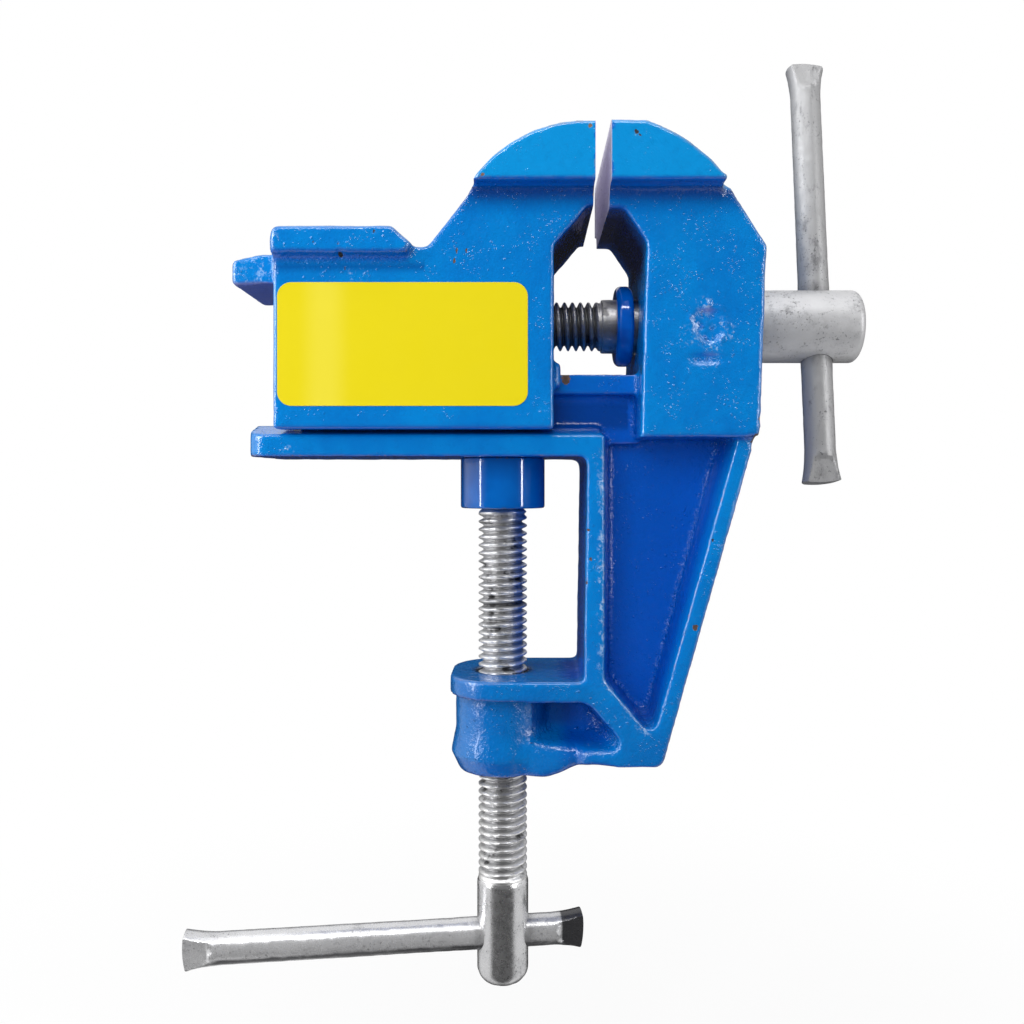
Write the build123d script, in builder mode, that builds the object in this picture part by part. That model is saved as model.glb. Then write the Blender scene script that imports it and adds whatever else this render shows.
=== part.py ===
from build123d import *
import os
from math import cos, hypot, radians, sin

# A small clamp-on jewelers bench vise in millimetres, as separate pieces in one frame.
# The origin is on the table plate's underside, on the axis of the clamp screw.
# X runs from the anvil to the screw head, Y along the gripping faces, Z up.

os.makedirs("parts", exist_ok=True)

# Driving sizes of the whole vise
jaw_width = 50.0
block_width = 37.8
frame_width = 31.4
jaw_gap = 3.35
grip_x = 22.85
jaw_top = 68.9
cheek_base = 56.4
screw_height = 30.1
throat_depth = 18.4
throat_height = 48.4
jaw_half = jaw_width / 2
block_half = block_width / 2
frame_half = frame_width / 2

# Fits between the pieces
running_clearance = 0.05
press_clearance = 0.02
seat_gap = 0.05
slide_clearance = 0.3
neck_gap = 0.6
plate_gap = 0.7
bar_hole_clearance = 0.15
overrun = 1.0
edge_reach = 0.05

# Screws, with their threads as plain cylinders over the crests
thread_radius = 5.55
journal_radius = 6.1
head_radius = 8.25
head_length = 25.8
head_edge = 1.0
screw_end_chamfer = 1.0
bar_radius = 3.5

# Table plate and the T-shaped rail on it
plate_left = -54.6
plate_edge = 4.6
plate_crest = 7.0
plate_corner_radius = 4.5
rail_left = -45.0
neck_half = 7.0
neck_foot = 3.0
rail_base = 13.6
rail_top = 18.0
rail_half = 11.0
rail_fillet = 1.2

# Clamp frame below the plate
throat_draft = 0.7
throat_top_fillet = 1.5
throat_foot_fillet = 1.0
back_wall = 3.5
arm_height = 18.2
arm_flange = 4.1
arm_reach = 11.6
arm_corner_radius = 11.0
foot_flange = 3.1
foot_x = 34.5
foot_corner_radius = 2.0
slant_top_step = 0.3
slant_flange = 3.6
web_half = 3.5
pocket_draft = 2.1
pocket_radius = 1.8
pocket_wide_radius = 4.5
rib_start = 0.6
rib_tip = 6.0
rib_width = 5.4
boss_radius = 10.7
boss_rim_radius = 11.75
boss_waist_drop = 13.1
boss_rim_drop = 18.1
boss_drop = 22.1
boss_foot_radius = 9.9
boss_side = 6.0
foot_wide_x = 19.5
foot_narrow_x = 13.5
foot_narrow_half = 9.3
foot_rise_x = 19.0

# Fixed jaw block
block_base = 4.0
block_inner_foot = 29.5
block_inner_top = 30.7
block_outer_foot = 54.7
block_outer_top = 56.1
shoulder_z = 44.4
crown_flat = 7.2
crown_drop = 0.2
crown_radius = 34.0
crown_end_x = 45.7
crown_end_z = 58.0
crown_end_step = 3.0
crown_bend_x = 49.8
crown_bend_z = 54.2
cheek_end_x = 46.6
cheek_edge = 0.5
spot_face_depth = 0.4
spot_face_clearance = 0.8

# Relief under both gripping faces, and the fillet under the cheeks
relief_start = 52.2
relief_end = 45.2
relief_step = 3.2
moving_relief_start = 52.8
moving_relief_end = 44.3
moving_relief_step = 1.1
cheek_fillet = 3.4

# Moving jaw with its anvil and horn, its places along X as setbacks from its gripping face
front_setback = 8.3
back_setback = 67.5
moving_base = 5.65
moving_top_drop = 0.4
moving_crown_radius = 28.2
moving_crown_setback = 24.6
moving_crown_z = 57.4
valley_z = 44.1
valley_front_setback = 35.1
valley_back_setback = 37.9
valley_radius = 1.6
anvil_top = 47.9
anvil_setback = 42.1
anvil_half = 22.0
anvil_thickness = 5.8
anvil_corner_radius = 2.0
anvil_edge = 0.6
anvil_fillet = 2.0
anvil_toe = 1.0
anvil_foot = 38.0
horn_length = 10.6
horn_tip_base = 37.0
horn_tip_top = 42.5
horn_tip_width = 25.4
horn_neck_length = 4.0
horn_neck_base = 37.5
horn_neck_top = 43.9
horn_neck_width = 26.0
horn_root_length = 1.2
horn_root_base = 35.5
horn_root_top = 45.5
horn_root_width = 29.0
horn_edge_radius = 1.0
nut_length = 17.0
nut_relief_radius = 6.8
lug_reach = 1.6
lug_base = 14.6
lug_height = 5.6
lug_gap = 0.6
lug_width = 3.0
lug_radius = 1.2

# Main screw with its collar and tommy bar
journal_start = 22.5
thread_end = -38.0
collar_radius = 9.1
collar_width = 3.8
collar_gap = 0.65
collar_edge = 0.8
pin_radius = 1.0
pin_recess = 0.2
main_bar_x = 71.6
main_bar_tilt = 8.0
main_bar_up = 63.6
main_bar_down = 36.5

# Clamp screw with its pad and tommy bar
pad_radius = 9.6
pad_height = 11.4
pad_edge = 0.5
spigot_radius = 3.4
spigot_head_radius = 4.9
spigot_head_height = 1.6
counterbore_radius = 6.4
counterbore_depth = 5.0
clamp_thread_drop = 25.1
clamp_shank_radius = 5.85
clamp_bar_drop = 38.0
clamp_screw_drop = 48.7
clamp_end_edge = 1.6
clamp_bar_turn = 7.5
clamp_bar_left = 70.7
clamp_bar_right = 18.6

# Swaged ends of both tommy bars
flare_length = 9.0
flare_radius = 4.4
flare_edge = 0.5
flat_length = 5.6
flat_half = 2.7

# Label on the moving jaw's near side
label_width = 52.7
label_height = 26.0
label_thickness = 0.15
label_corner_radius = 3.0
label_base = 10.5
label_margin = 1.0


def jaw_section(from_x, base_z):
    """A jaw seen along X: the block, its wide cheeks above and the fillet under each cheek."""
    with BuildSketch(Plane.YZ.offset(from_x)) as section:
        with Locations((0, base_z)):
            Rectangle(block_width, jaw_top - base_z, align=(Align.CENTER, Align.MIN))
        with Locations((0, cheek_base)):
            Rectangle(jaw_width, jaw_top - cheek_base, align=(Align.CENTER, Align.MIN))
        cheek_corners = section.vertices().group_by(Axis.Y)[1].sort_by(Axis.X)
        fillet(cheek_corners[1:-1], cheek_fillet)
    return section.sketch


def swaged_bar(centre, direction, cross, up, down):
    """A tommy bar along direction, flared and pinched flat across cross at both ends."""
    flat_normal = Vector(*cross).cross(Vector(*direction))
    with BuildPart() as bar:
        with BuildSketch(Plane(origin=centre, x_dir=cross, z_dir=flat_normal)):
            with BuildLine():
                Polyline(
                    (0, up),
                    (flare_radius - flare_edge, up),
                    (flare_radius, up - flare_edge),
                    (bar_radius, up - flare_length),
                    (bar_radius, flare_length - down),
                    (flare_radius, flare_edge - down),
                    (flare_radius - flare_edge, -down),
                    (0, -down),
                    close=True,
                )
            make_face()
        revolve(axis=Axis(centre, direction))
        for side in (1, -1):
            flat_plane = Plane(
                origin=Vector(*centre) + flat_normal * side * flat_half,
                x_dir=cross,
                z_dir=flat_normal,
            )
            with BuildSketch(flat_plane):
                for end in (up - flat_length / 2, flat_length / 2 - down):
                    with Locations((0, end)):
                        Rectangle(2 * flare_radius, flat_length)
            extrude(amount=side * flare_radius, mode=Mode.SUBTRACT)
    return bar.part


def side_edges(part, side, skipped_x):
    """The edges round the part's outermost face on one side of Y, without those at skipped_x."""
    outermost = part.faces().filter_by(Axis.Y).sort_by(Axis.Y)[-1 if side > 0 else 0]
    return outermost.edges().filter_by(lambda edge: abs(edge.center().X - skipped_x) > edge_reach)


def edge_at(part, x, z):
    """The part's edges that run along Y through x and z."""
    return part.edges().filter_by(
        lambda edge: abs(edge.center().X - x) + abs(edge.center().Z - z) < edge_reach
    ).filter_by(Axis.Y)


# Fixed jaw block, both walls drafted, with the relief under its gripping face
with BuildPart() as fixed_block:
    with BuildSketch(Plane.XZ):
        with BuildLine():
            Polyline(
                (grip_x + crown_flat, jaw_top - crown_drop),
                (grip_x, jaw_top),
                (grip_x, relief_start),
                (grip_x + relief_step, relief_start),
                (block_inner_top, relief_end),
                (block_inner_foot, block_base),
                (block_outer_foot, block_base),
                (block_outer_top, shoulder_z),
                (crown_bend_x, crown_bend_z),
                (crown_end_x + crown_end_step, cheek_base),
                (crown_end_x, crown_end_z),
            )
            RadiusArc(
                (grip_x + crown_flat, jaw_top - crown_drop),
                (crown_end_x, crown_end_z),
                crown_radius,
            )
        make_face()
    extrude(amount=jaw_half, both=True)
    extrude(
        jaw_section(grip_x, block_base), amount=block_outer_top - grip_x, mode=Mode.INTERSECT
    )
    with BuildSketch(Plane.XY.offset(cheek_base - cheek_fillet - overrun)):
        for side in (1, -1):
            with Locations((cheek_end_x, side * block_half)):
                Rectangle(
                    block_outer_top - cheek_end_x,
                    jaw_half - block_half,
                    align=(Align.MIN, Align.MIN if side > 0 else Align.MAX),
                )
    extrude(amount=jaw_top - cheek_base + cheek_fillet + overrun, mode=Mode.SUBTRACT)
    for side in (1, -1):
        chamfer(side_edges(fixed_block.part, side, grip_x), cheek_edge)

# Lines of the clamp frame's side view: slanted back, diagonal rib and both pockets
arm_top = -throat_height
arm_foot = arm_top - arm_height
boss_foot = arm_top - boss_drop
throat_foot = throat_depth - throat_draft
slant_top_x = block_outer_foot - slant_top_step
slant_run = (slant_top_x - foot_x) / (block_base - arm_foot)
pocket_top = plate_crest + overrun
pocket_left = throat_depth + back_wall
rib_top_z = arm_top + rib_start
rib_tip_z = arm_foot + rib_tip


def slant_x(z):
    """X of the slanted flange's inner side, at its edge, at height z."""
    return foot_x + slant_run * (z - arm_foot) - slant_flange


rib_run = (slant_x(rib_tip_z) - pocket_left) / (rib_top_z - rib_tip_z)
rib_slope = hypot(1, rib_run)


def rib_x(z, beyond):
    """X on a line beside the diagonal rib's upper side, moved out by beyond, at height z."""
    return pocket_left + rib_run * (rib_top_z - z) - beyond * rib_slope


lower_top = arm_top - arm_flange
lower_foot = arm_foot + foot_flange
upper_mouth = (
    (pocket_left, pocket_top),
    (slant_x(pocket_top), pocket_top),
    (slant_x(rib_tip_z), rib_tip_z),
    (pocket_left, rib_top_z),
)
upper_floor = (
    (pocket_left + pocket_draft, pocket_top),
    (slant_x(pocket_top) - pocket_draft, pocket_top),
    (slant_x(rib_tip_z + pocket_draft) - pocket_draft / 2, rib_tip_z + pocket_draft),
    (pocket_left + pocket_draft, rib_top_z - pocket_draft / 2),
)
lower_mouth = (
    (boss_side - overrun, lower_top),
    (rib_x(lower_top, rib_width), lower_top),
    (rib_x(lower_foot, rib_width), lower_foot),
    (boss_side - overrun, lower_foot),
)
lower_floor = (
    (boss_side - overrun, lower_top - pocket_draft),
    (rib_x(lower_top - pocket_draft, rib_width + pocket_draft), lower_top - pocket_draft),
    (rib_x(lower_foot + pocket_draft, rib_width + pocket_draft), lower_foot + pocket_draft),
    (boss_side - overrun, lower_foot + pocket_draft),
)

# Pockets on the near side of the frame's I-section, drafted down to the web
with BuildPart() as pockets:
    for mouth, floor, second_radius in (
        (upper_mouth, upper_floor, pocket_radius),
        (lower_mouth, lower_floor, pocket_wide_radius),
    ):
        for depth, outline in ((frame_half + overrun, mouth), (web_half, floor)):
            with BuildSketch(Plane.XZ.offset(depth)) as pocket:
                with BuildLine():
                    Polyline(*outline, close=True)
                make_face()
                for corner, point in enumerate(outline):
                    fillet(
                        pocket.vertices().sort_by_distance((*point, 0))[0],
                        second_radius if corner == 1 else pocket_radius,
                    )
        loft()

# One casting: table plate, rail, clamp frame with its screw boss, and the fixed jaw
with BuildPart() as frame:
    with BuildSketch(Plane.YZ.offset(plate_left)):
        with BuildLine():
            Polyline(
                (-frame_half, 0),
                (frame_half, 0),
                (frame_half, plate_edge),
                (neck_half, plate_crest),
                (-neck_half, plate_crest),
                (-frame_half, plate_edge),
                close=True,
            )
        make_face()
    extrude(amount=pocket_left - plate_left)
    fillet(frame.edges().filter_by(Axis.Z).group_by(Axis.X)[0], plate_corner_radius)
    with BuildSketch(Plane.XZ):
        with BuildLine():
            Polyline(
                (throat_depth, 0),
                (throat_foot, arm_top),
                (boss_side, arm_top),
                (boss_side, boss_foot),
                (boss_foot_radius, boss_foot),
                (foot_rise_x, arm_foot),
                (foot_x, arm_foot),
                (slant_top_x, block_base),
                (slant_top_x, plate_edge - seat_gap),
                (throat_depth, plate_edge - seat_gap),
                close=True,
            )
        make_face()
    extrude(amount=frame_half, both=True)
    add(pockets.part, mode=Mode.SUBTRACT)
    add(mirror(pockets.part, about=Plane.XZ, mode=Mode.PRIVATE), mode=Mode.SUBTRACT)
    for side in (1, -1):
        with BuildSketch(Plane.XY.offset(boss_foot - overrun)) as foot_waist:
            with BuildLine():
                Polyline(
                    (foot_wide_x, side * frame_half),
                    (foot_wide_x, side * (frame_half + overrun)),
                    (boss_side - overrun, side * (frame_half + overrun)),
                    (boss_side - overrun, side * foot_narrow_half),
                    (foot_narrow_x, side * foot_narrow_half),
                )
                Spline(
                    (foot_narrow_x, side * foot_narrow_half),
                    (foot_wide_x, side * frame_half),
                    tangents=((1, 0), (1, 0)),
                )
            make_face()
        extrude(amount=lower_foot - boss_foot + 2 * overrun, mode=Mode.SUBTRACT)
    with BuildSketch(Plane.XY.offset(arm_top)) as arm_plan:
        with Locations((-arm_reach, 0)):
            Rectangle(arm_reach + throat_depth, frame_width, align=(Align.MIN, Align.CENTER))
        fillet(arm_plan.vertices().group_by(Axis.X)[0], arm_corner_radius)
    extrude(amount=-arm_flange)
    with BuildSketch(Plane.XZ):
        with BuildLine():
            Polyline(
                (0, arm_top),
                (boss_radius, arm_top),
                (boss_radius, arm_top - boss_waist_drop),
                (boss_rim_radius, arm_top - boss_rim_drop),
                (boss_foot_radius, boss_foot),
                (0, boss_foot),
                close=True,
            )
        make_face()
    revolve(axis=Axis.Z)
    with BuildSketch(Plane.YZ.offset(rail_left)) as rail_section:
        with Locations((0, neck_foot)):
            Rectangle(2 * neck_half, rail_top - neck_foot, align=(Align.CENTER, Align.MIN))
        with Locations((0, rail_base)):
            Rectangle(2 * rail_half, rail_top - rail_base, align=(Align.CENTER, Align.MIN))
        rail_corners = rail_section.vertices().group_by(Axis.Y)[1].sort_by(Axis.X)
        fillet(rail_corners[1:-1], rail_fillet)
    extrude(amount=block_inner_top - rail_left)
    add(fixed_block.part)
    with BuildSketch(Plane.YZ.offset(block_inner_foot - overrun)):
        with Locations((0, screw_height)):
            Circle(journal_radius + running_clearance)
    extrude(amount=block_outer_top - block_inner_foot + 2 * overrun, mode=Mode.SUBTRACT)
    with BuildSketch(Plane.XY.offset(arm_top + overrun)):
        Circle(thread_radius + running_clearance)
    extrude(amount=-(boss_drop + 2 * overrun), mode=Mode.SUBTRACT)

    fillet(edge_at(frame, throat_depth, 0), throat_top_fillet)
    fillet(edge_at(frame, throat_foot, arm_top), throat_foot_fillet)
    fillet(edge_at(frame, foot_x, arm_foot), foot_corner_radius)
    seat_x = block_outer_foot + spot_face_depth
    with BuildSketch(Plane.YZ.offset(seat_x)):
        with Locations((0, screw_height)):
            Circle(head_radius + spot_face_clearance)
    extrude(amount=overrun, mode=Mode.SUBTRACT)

# Places of the moving jaw along X
moving_grip_x = grip_x - jaw_gap
moving_front = moving_grip_x - front_setback
moving_back = moving_grip_x - back_setback
moving_crown_x = moving_grip_x - moving_crown_setback
valley_front = moving_grip_x - valley_front_setback
valley_back = moving_grip_x - valley_back_setback
anvil_front = moving_grip_x - anvil_setback

# Anvil on the moving jaw's back, wider than the block, with a sloping front end
with BuildPart() as anvil:
    with BuildSketch(Plane.XZ) as anvil_outline:
        with BuildLine():
            Polyline(
                (moving_back, anvil_top),
                (anvil_front, anvil_top),
                (valley_back, valley_z),
                (valley_back - anvil_toe, anvil_top - anvil_thickness),
                (valley_back - anvil_toe, anvil_foot),
                (moving_back, anvil_foot),
                close=True,
            )
        make_face()
        back_corner = anvil_outline.vertices().group_by(Axis.X)[0].sort_by(Axis.Y)[-1]
        fillet(back_corner, anvil_corner_radius)
    extrude(amount=anvil_half, both=True)
    with BuildSketch(Plane.YZ.offset(moving_back)) as anvil_section:
        with Locations((0, anvil_foot)):
            Rectangle(block_width, anvil_thickness, align=(Align.CENTER, Align.MIN))
        with Locations((0, anvil_top)):
            Rectangle(2 * anvil_half, anvil_thickness, align=(Align.CENTER, Align.MAX))
        anvil_corners = anvil_section.vertices().group_by(Axis.Y)[1].sort_by(Axis.X)
        fillet(anvil_corners[1:-1], anvil_fillet)
    extrude(amount=valley_back - moving_back, mode=Mode.INTERSECT)
    for side in (1, -1):
        chamfer(side_edges(anvil.part, side, valley_back), anvil_edge)

# Flat horn behind the anvil, flared where it joins the block
with BuildPart() as horn:
    for x, width, base_z, top_z in (
        (moving_back + overrun, horn_root_width, horn_root_base, horn_root_top),
        (moving_back, horn_root_width, horn_root_base, horn_root_top),
        (moving_back - horn_root_length, horn_neck_width, horn_neck_base, horn_neck_top),
        (moving_back - horn_neck_length, horn_neck_width, horn_neck_base, horn_neck_top),
        (moving_back - horn_length, horn_tip_width, horn_tip_base, horn_tip_top),
    ):
        with BuildSketch(Plane.YZ.offset(x)):
            with Locations((0, base_z)):
                Rectangle(width, top_z - base_z, align=(Align.CENTER, Align.MIN))
    loft(ruled=True)
    fillet(horn.edges().group_by(Axis.X)[0], horn_edge_radius)

# Moving jaw: one casting with its anvil, horn and T-slot, threaded for the main screw
moving_top = jaw_top - moving_top_drop
with BuildPart() as moving_jaw:
    with BuildSketch(Plane.XZ) as moving_outline:
        with BuildLine():
            Polyline(
                (moving_grip_x, moving_top),
                (moving_grip_x, moving_relief_start),
                (moving_grip_x - moving_relief_step, moving_relief_start),
                (moving_front, moving_relief_end),
                (moving_front, moving_base),
                (moving_back, moving_base),
                (moving_back, valley_z),
                (valley_front, valley_z),
                (moving_crown_x, moving_crown_z),
            )
            RadiusArc(
                (moving_grip_x, moving_top),
                (moving_crown_x, moving_crown_z),
                -moving_crown_radius,
            )
        make_face()
        fillet(moving_outline.vertices().filter_by_position(
            Axis.X, valley_front - edge_reach, valley_front + edge_reach), valley_radius)
    extrude(amount=jaw_half, both=True)
    extrude(
        jaw_section(moving_back, moving_base),
        amount=moving_grip_x - moving_back,
        mode=Mode.INTERSECT,
    )
    for side in (1, -1):
        chamfer(side_edges(moving_jaw.part, side, moving_grip_x), cheek_edge)
    add(anvil.part)
    add(horn.part)
    slot_base = rail_base - slide_clearance
    with BuildSketch(Plane.YZ.offset(moving_back - overrun)) as slot:
        with Locations((0, rail_top + slide_clearance)):
            Rectangle(
                2 * (rail_half + slide_clearance),
                rail_top - rail_base + 2 * slide_clearance,
                align=(Align.CENTER, Align.MAX),
            )
        with Locations((0, rail_base)):
            Rectangle(2 * (neck_half + neck_gap), rail_base, align=(Align.CENTER, Align.MAX))
        with BuildLine():
            Polyline(
                (-frame_half, 0),
                (-frame_half, plate_edge + plate_gap),
                (-neck_half, plate_crest + plate_gap),
                (neck_half, plate_crest + plate_gap),
                (frame_half, plate_edge + plate_gap),
                (frame_half, 0),
                close=True,
            )
        make_face()
    extrude(amount=moving_front - moving_back + 2 * overrun, mode=Mode.SUBTRACT)
    with BuildSketch(Plane.YZ.offset(moving_back - overrun)):
        with Locations((0, screw_height)):
            Circle(nut_relief_radius)
    extrude(amount=moving_front - nut_length - moving_back + overrun, mode=Mode.SUBTRACT)
    with BuildSketch(Plane.YZ.offset(moving_front + overrun)):
        with Locations((0, screw_height)):
            Circle(thread_radius + running_clearance)
    extrude(amount=-(nut_length + 2 * overrun), mode=Mode.SUBTRACT)
    with BuildSketch(Plane.YZ.offset(moving_front - overrun)):
        for side in (1, -1):
            with Locations((side * (rail_half + lug_gap + lug_width / 2), lug_base + lug_height / 2)):
                RectangleRounded(lug_width, lug_height, lug_radius)
    extrude(amount=lug_reach + overrun)

# Blank label on the moving jaw's near side
with BuildPart() as label:
    with BuildSketch(Plane.XZ.offset(block_half)):
        with Locations((moving_back + label_margin + label_width / 2, label_base + label_height / 2)):
            RectangleRounded(label_width, label_height, label_corner_radius)
    extrude(amount=label_thickness)

# Main screw in one piece: threaded end, journal in the fixed jaw, and cross-drilled head
head_x = seat_x + seat_gap
head_end = head_x + head_length
wall_draft = (block_inner_top - block_inner_foot) / (relief_end - block_base)
collar_wall_x = block_inner_foot + wall_draft * (screw_height - collar_radius - block_base)
pin_x = collar_wall_x - collar_gap - collar_width / 2
bar_direction = (0, sin(radians(main_bar_tilt)), cos(radians(main_bar_tilt)))
bar_centre = (main_bar_x, 0, screw_height)
with BuildPart() as main_screw:
    with BuildSketch(Plane.XZ) as screw_profile:
        with BuildLine():
            Polyline(
                (thread_end, screw_height),
                (thread_end, screw_height + thread_radius - screw_end_chamfer),
                (thread_end + screw_end_chamfer, screw_height + thread_radius),
                (journal_start, screw_height + thread_radius),
                (journal_start, screw_height + journal_radius),
                (head_x, screw_height + journal_radius),
                (head_x, screw_height + head_radius),
                (head_end, screw_height + head_radius),
                (head_end, screw_height),
                close=True,
            )
        make_face()
        head_corner = screw_profile.vertices().group_by(Axis.X)[-1].sort_by(Axis.Y)[-1]
        chamfer(head_corner, head_edge)
    revolve(axis=Axis((0, 0, screw_height), (1, 0, 0)))
    with BuildSketch(Plane(origin=bar_centre, x_dir=(1, 0, 0), z_dir=bar_direction)):
        Circle(bar_radius + bar_hole_clearance)
    extrude(amount=head_radius + overrun, both=True, mode=Mode.SUBTRACT)
    with BuildSketch(Plane.XY.offset(screw_height)):
        with Locations((pin_x, 0)):
            Circle(pin_radius + press_clearance)
    extrude(amount=journal_radius + overrun, both=True, mode=Mode.SUBTRACT)

# Collar that keeps the screw in the fixed jaw, cross-drilled for its pin
with BuildPart() as retaining_collar:
    with BuildSketch(Plane.YZ.offset(pin_x - collar_width / 2)):
        with Locations((0, screw_height)):
            Circle(collar_radius)
    extrude(amount=collar_width)
    chamfer(retaining_collar.edges(), collar_edge)
    with BuildSketch(Plane.YZ.offset(pin_x - collar_width)):
        with Locations((0, screw_height)):
            Circle(journal_radius + press_clearance)
    extrude(amount=2 * collar_width, mode=Mode.SUBTRACT)
    with BuildSketch(Plane.XY.offset(screw_height)):
        with Locations((pin_x, 0)):
            Circle(pin_radius + press_clearance)
    extrude(amount=collar_radius + overrun, both=True, mode=Mode.SUBTRACT)

# Pin through the collar and the journal
with BuildPart() as collar_pin:
    with BuildSketch(Plane.XY.offset(screw_height)):
        with Locations((pin_x, 0)):
            Circle(pin_radius)
    extrude(amount=collar_radius - pin_recess, both=True)

main_handle = swaged_bar(bar_centre, bar_direction, (1, 0, 0), main_bar_up, main_bar_down)

# Clamp screw with the spigot that is peened over inside the pad
spigot_foot = -(pad_height + seat_gap)
spigot_top = spigot_head_height - counterbore_depth
clamp_thread_end = boss_foot - clamp_thread_drop
clamp_screw_end = boss_foot - clamp_screw_drop
clamp_centre = (0, 0, boss_foot - clamp_bar_drop)
turn = radians(clamp_bar_turn)
with BuildPart() as clamp_screw:
    with BuildSketch(Plane.XZ) as clamp_profile:
        with BuildLine():
            Polyline(
                (0, spigot_top),
                (spigot_head_radius, spigot_top),
                (spigot_head_radius, -counterbore_depth),
                (spigot_radius, -counterbore_depth),
                (spigot_radius, spigot_foot),
                (thread_radius, spigot_foot),
                (thread_radius, clamp_thread_end),
                (clamp_shank_radius, clamp_thread_end),
                (clamp_shank_radius, clamp_screw_end),
                (0, clamp_screw_end),
                close=True,
            )
        make_face()
        foot_corner = clamp_profile.vertices().group_by(Axis.Y)[0].sort_by(Axis.X)[-1]
        chamfer(foot_corner, clamp_end_edge)
    revolve(axis=Axis.Z)
    clamp_direction = (cos(turn), sin(turn), 0)
    with BuildSketch(Plane(origin=clamp_centre, x_dir=(0, 0, 1), z_dir=clamp_direction)):
        Circle(bar_radius + bar_hole_clearance)
    extrude(amount=clamp_shank_radius + overrun, both=True, mode=Mode.SUBTRACT)

# Swivel pad on the clamp screw's end
with BuildPart() as clamp_pad:
    with BuildSketch(Plane.XY.offset(-pad_height)):
        Circle(pad_radius)
    extrude(amount=pad_height - seat_gap)
    chamfer(clamp_pad.edges().group_by(Axis.Z)[0], pad_edge)
    with BuildSketch(Plane.XY.offset(-pad_height - overrun)):
        Circle(spigot_radius + running_clearance)
    extrude(amount=pad_height + 2 * overrun, mode=Mode.SUBTRACT)
    with BuildSketch(Plane.XY.offset(-counterbore_depth - seat_gap)):
        Circle(counterbore_radius)
    extrude(amount=counterbore_depth + overrun, mode=Mode.SUBTRACT)

clamp_handle = swaged_bar(
    clamp_centre, clamp_direction, (0, 0, 1), clamp_bar_right, clamp_bar_left
)

pieces = {
    "frame": frame.part,
    "moving_jaw": moving_jaw.part,
    "label": label.part,
    "main_screw": main_screw.part,
    "retaining_collar": retaining_collar.part,
    "collar_pin": collar_pin.part,
    "main_handle": main_handle,
    "clamp_screw": clamp_screw.part,
    "clamp_pad": clamp_pad.part,
    "clamp_handle": clamp_handle,
}
for name, piece in pieces.items():
    piece.label = name
    export_step(piece, f"parts/{name}.step")
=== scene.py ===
"""Visual model of a small clamp-on jewelers bench vise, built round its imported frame.

Two iron castings in blue enamel, two screws, a collar, a swivel pad, two tommy bars and a blank
label are made in the frame's own place and size, and stand in a plain white studio. Sizes in the
classes are millimetres in the frame's axes, and MM turns them into Blender's metres.
"""

import logging
import math
from collections.abc import Callable, Mapping, Sequence
from dataclasses import dataclass, field
from enum import Enum
from typing import Any

import bpy
import numpy as np
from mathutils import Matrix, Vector, noise

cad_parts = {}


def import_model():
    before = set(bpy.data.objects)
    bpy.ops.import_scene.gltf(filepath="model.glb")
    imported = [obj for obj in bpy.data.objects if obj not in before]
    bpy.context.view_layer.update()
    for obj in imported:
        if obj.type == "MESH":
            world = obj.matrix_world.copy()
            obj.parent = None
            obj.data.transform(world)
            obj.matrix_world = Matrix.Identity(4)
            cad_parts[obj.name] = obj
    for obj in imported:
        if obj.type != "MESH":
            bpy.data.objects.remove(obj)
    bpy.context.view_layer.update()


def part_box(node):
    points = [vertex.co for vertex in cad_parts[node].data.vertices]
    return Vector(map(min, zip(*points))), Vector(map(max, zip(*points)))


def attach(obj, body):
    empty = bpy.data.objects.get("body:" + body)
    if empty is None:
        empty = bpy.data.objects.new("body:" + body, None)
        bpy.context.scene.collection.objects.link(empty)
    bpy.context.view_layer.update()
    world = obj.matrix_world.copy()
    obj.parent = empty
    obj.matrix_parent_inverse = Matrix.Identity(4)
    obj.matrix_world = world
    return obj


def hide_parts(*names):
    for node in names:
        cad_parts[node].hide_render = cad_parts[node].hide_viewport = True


MM = 0.001
PITCH = 25.4 / 14
ARC_STEPS = 5
CHEEK_BASE = 56.4
SCREW_HEIGHT = 30.1
SIDE_SHARE = 0.2
SHARPEST = 4
TINY = 1e-6
Colour = tuple[float, float, float]
Point = tuple[float, float, float]
report = logging.getLogger("vise")


# ---------------------------------------------------------------- shader maths


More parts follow.
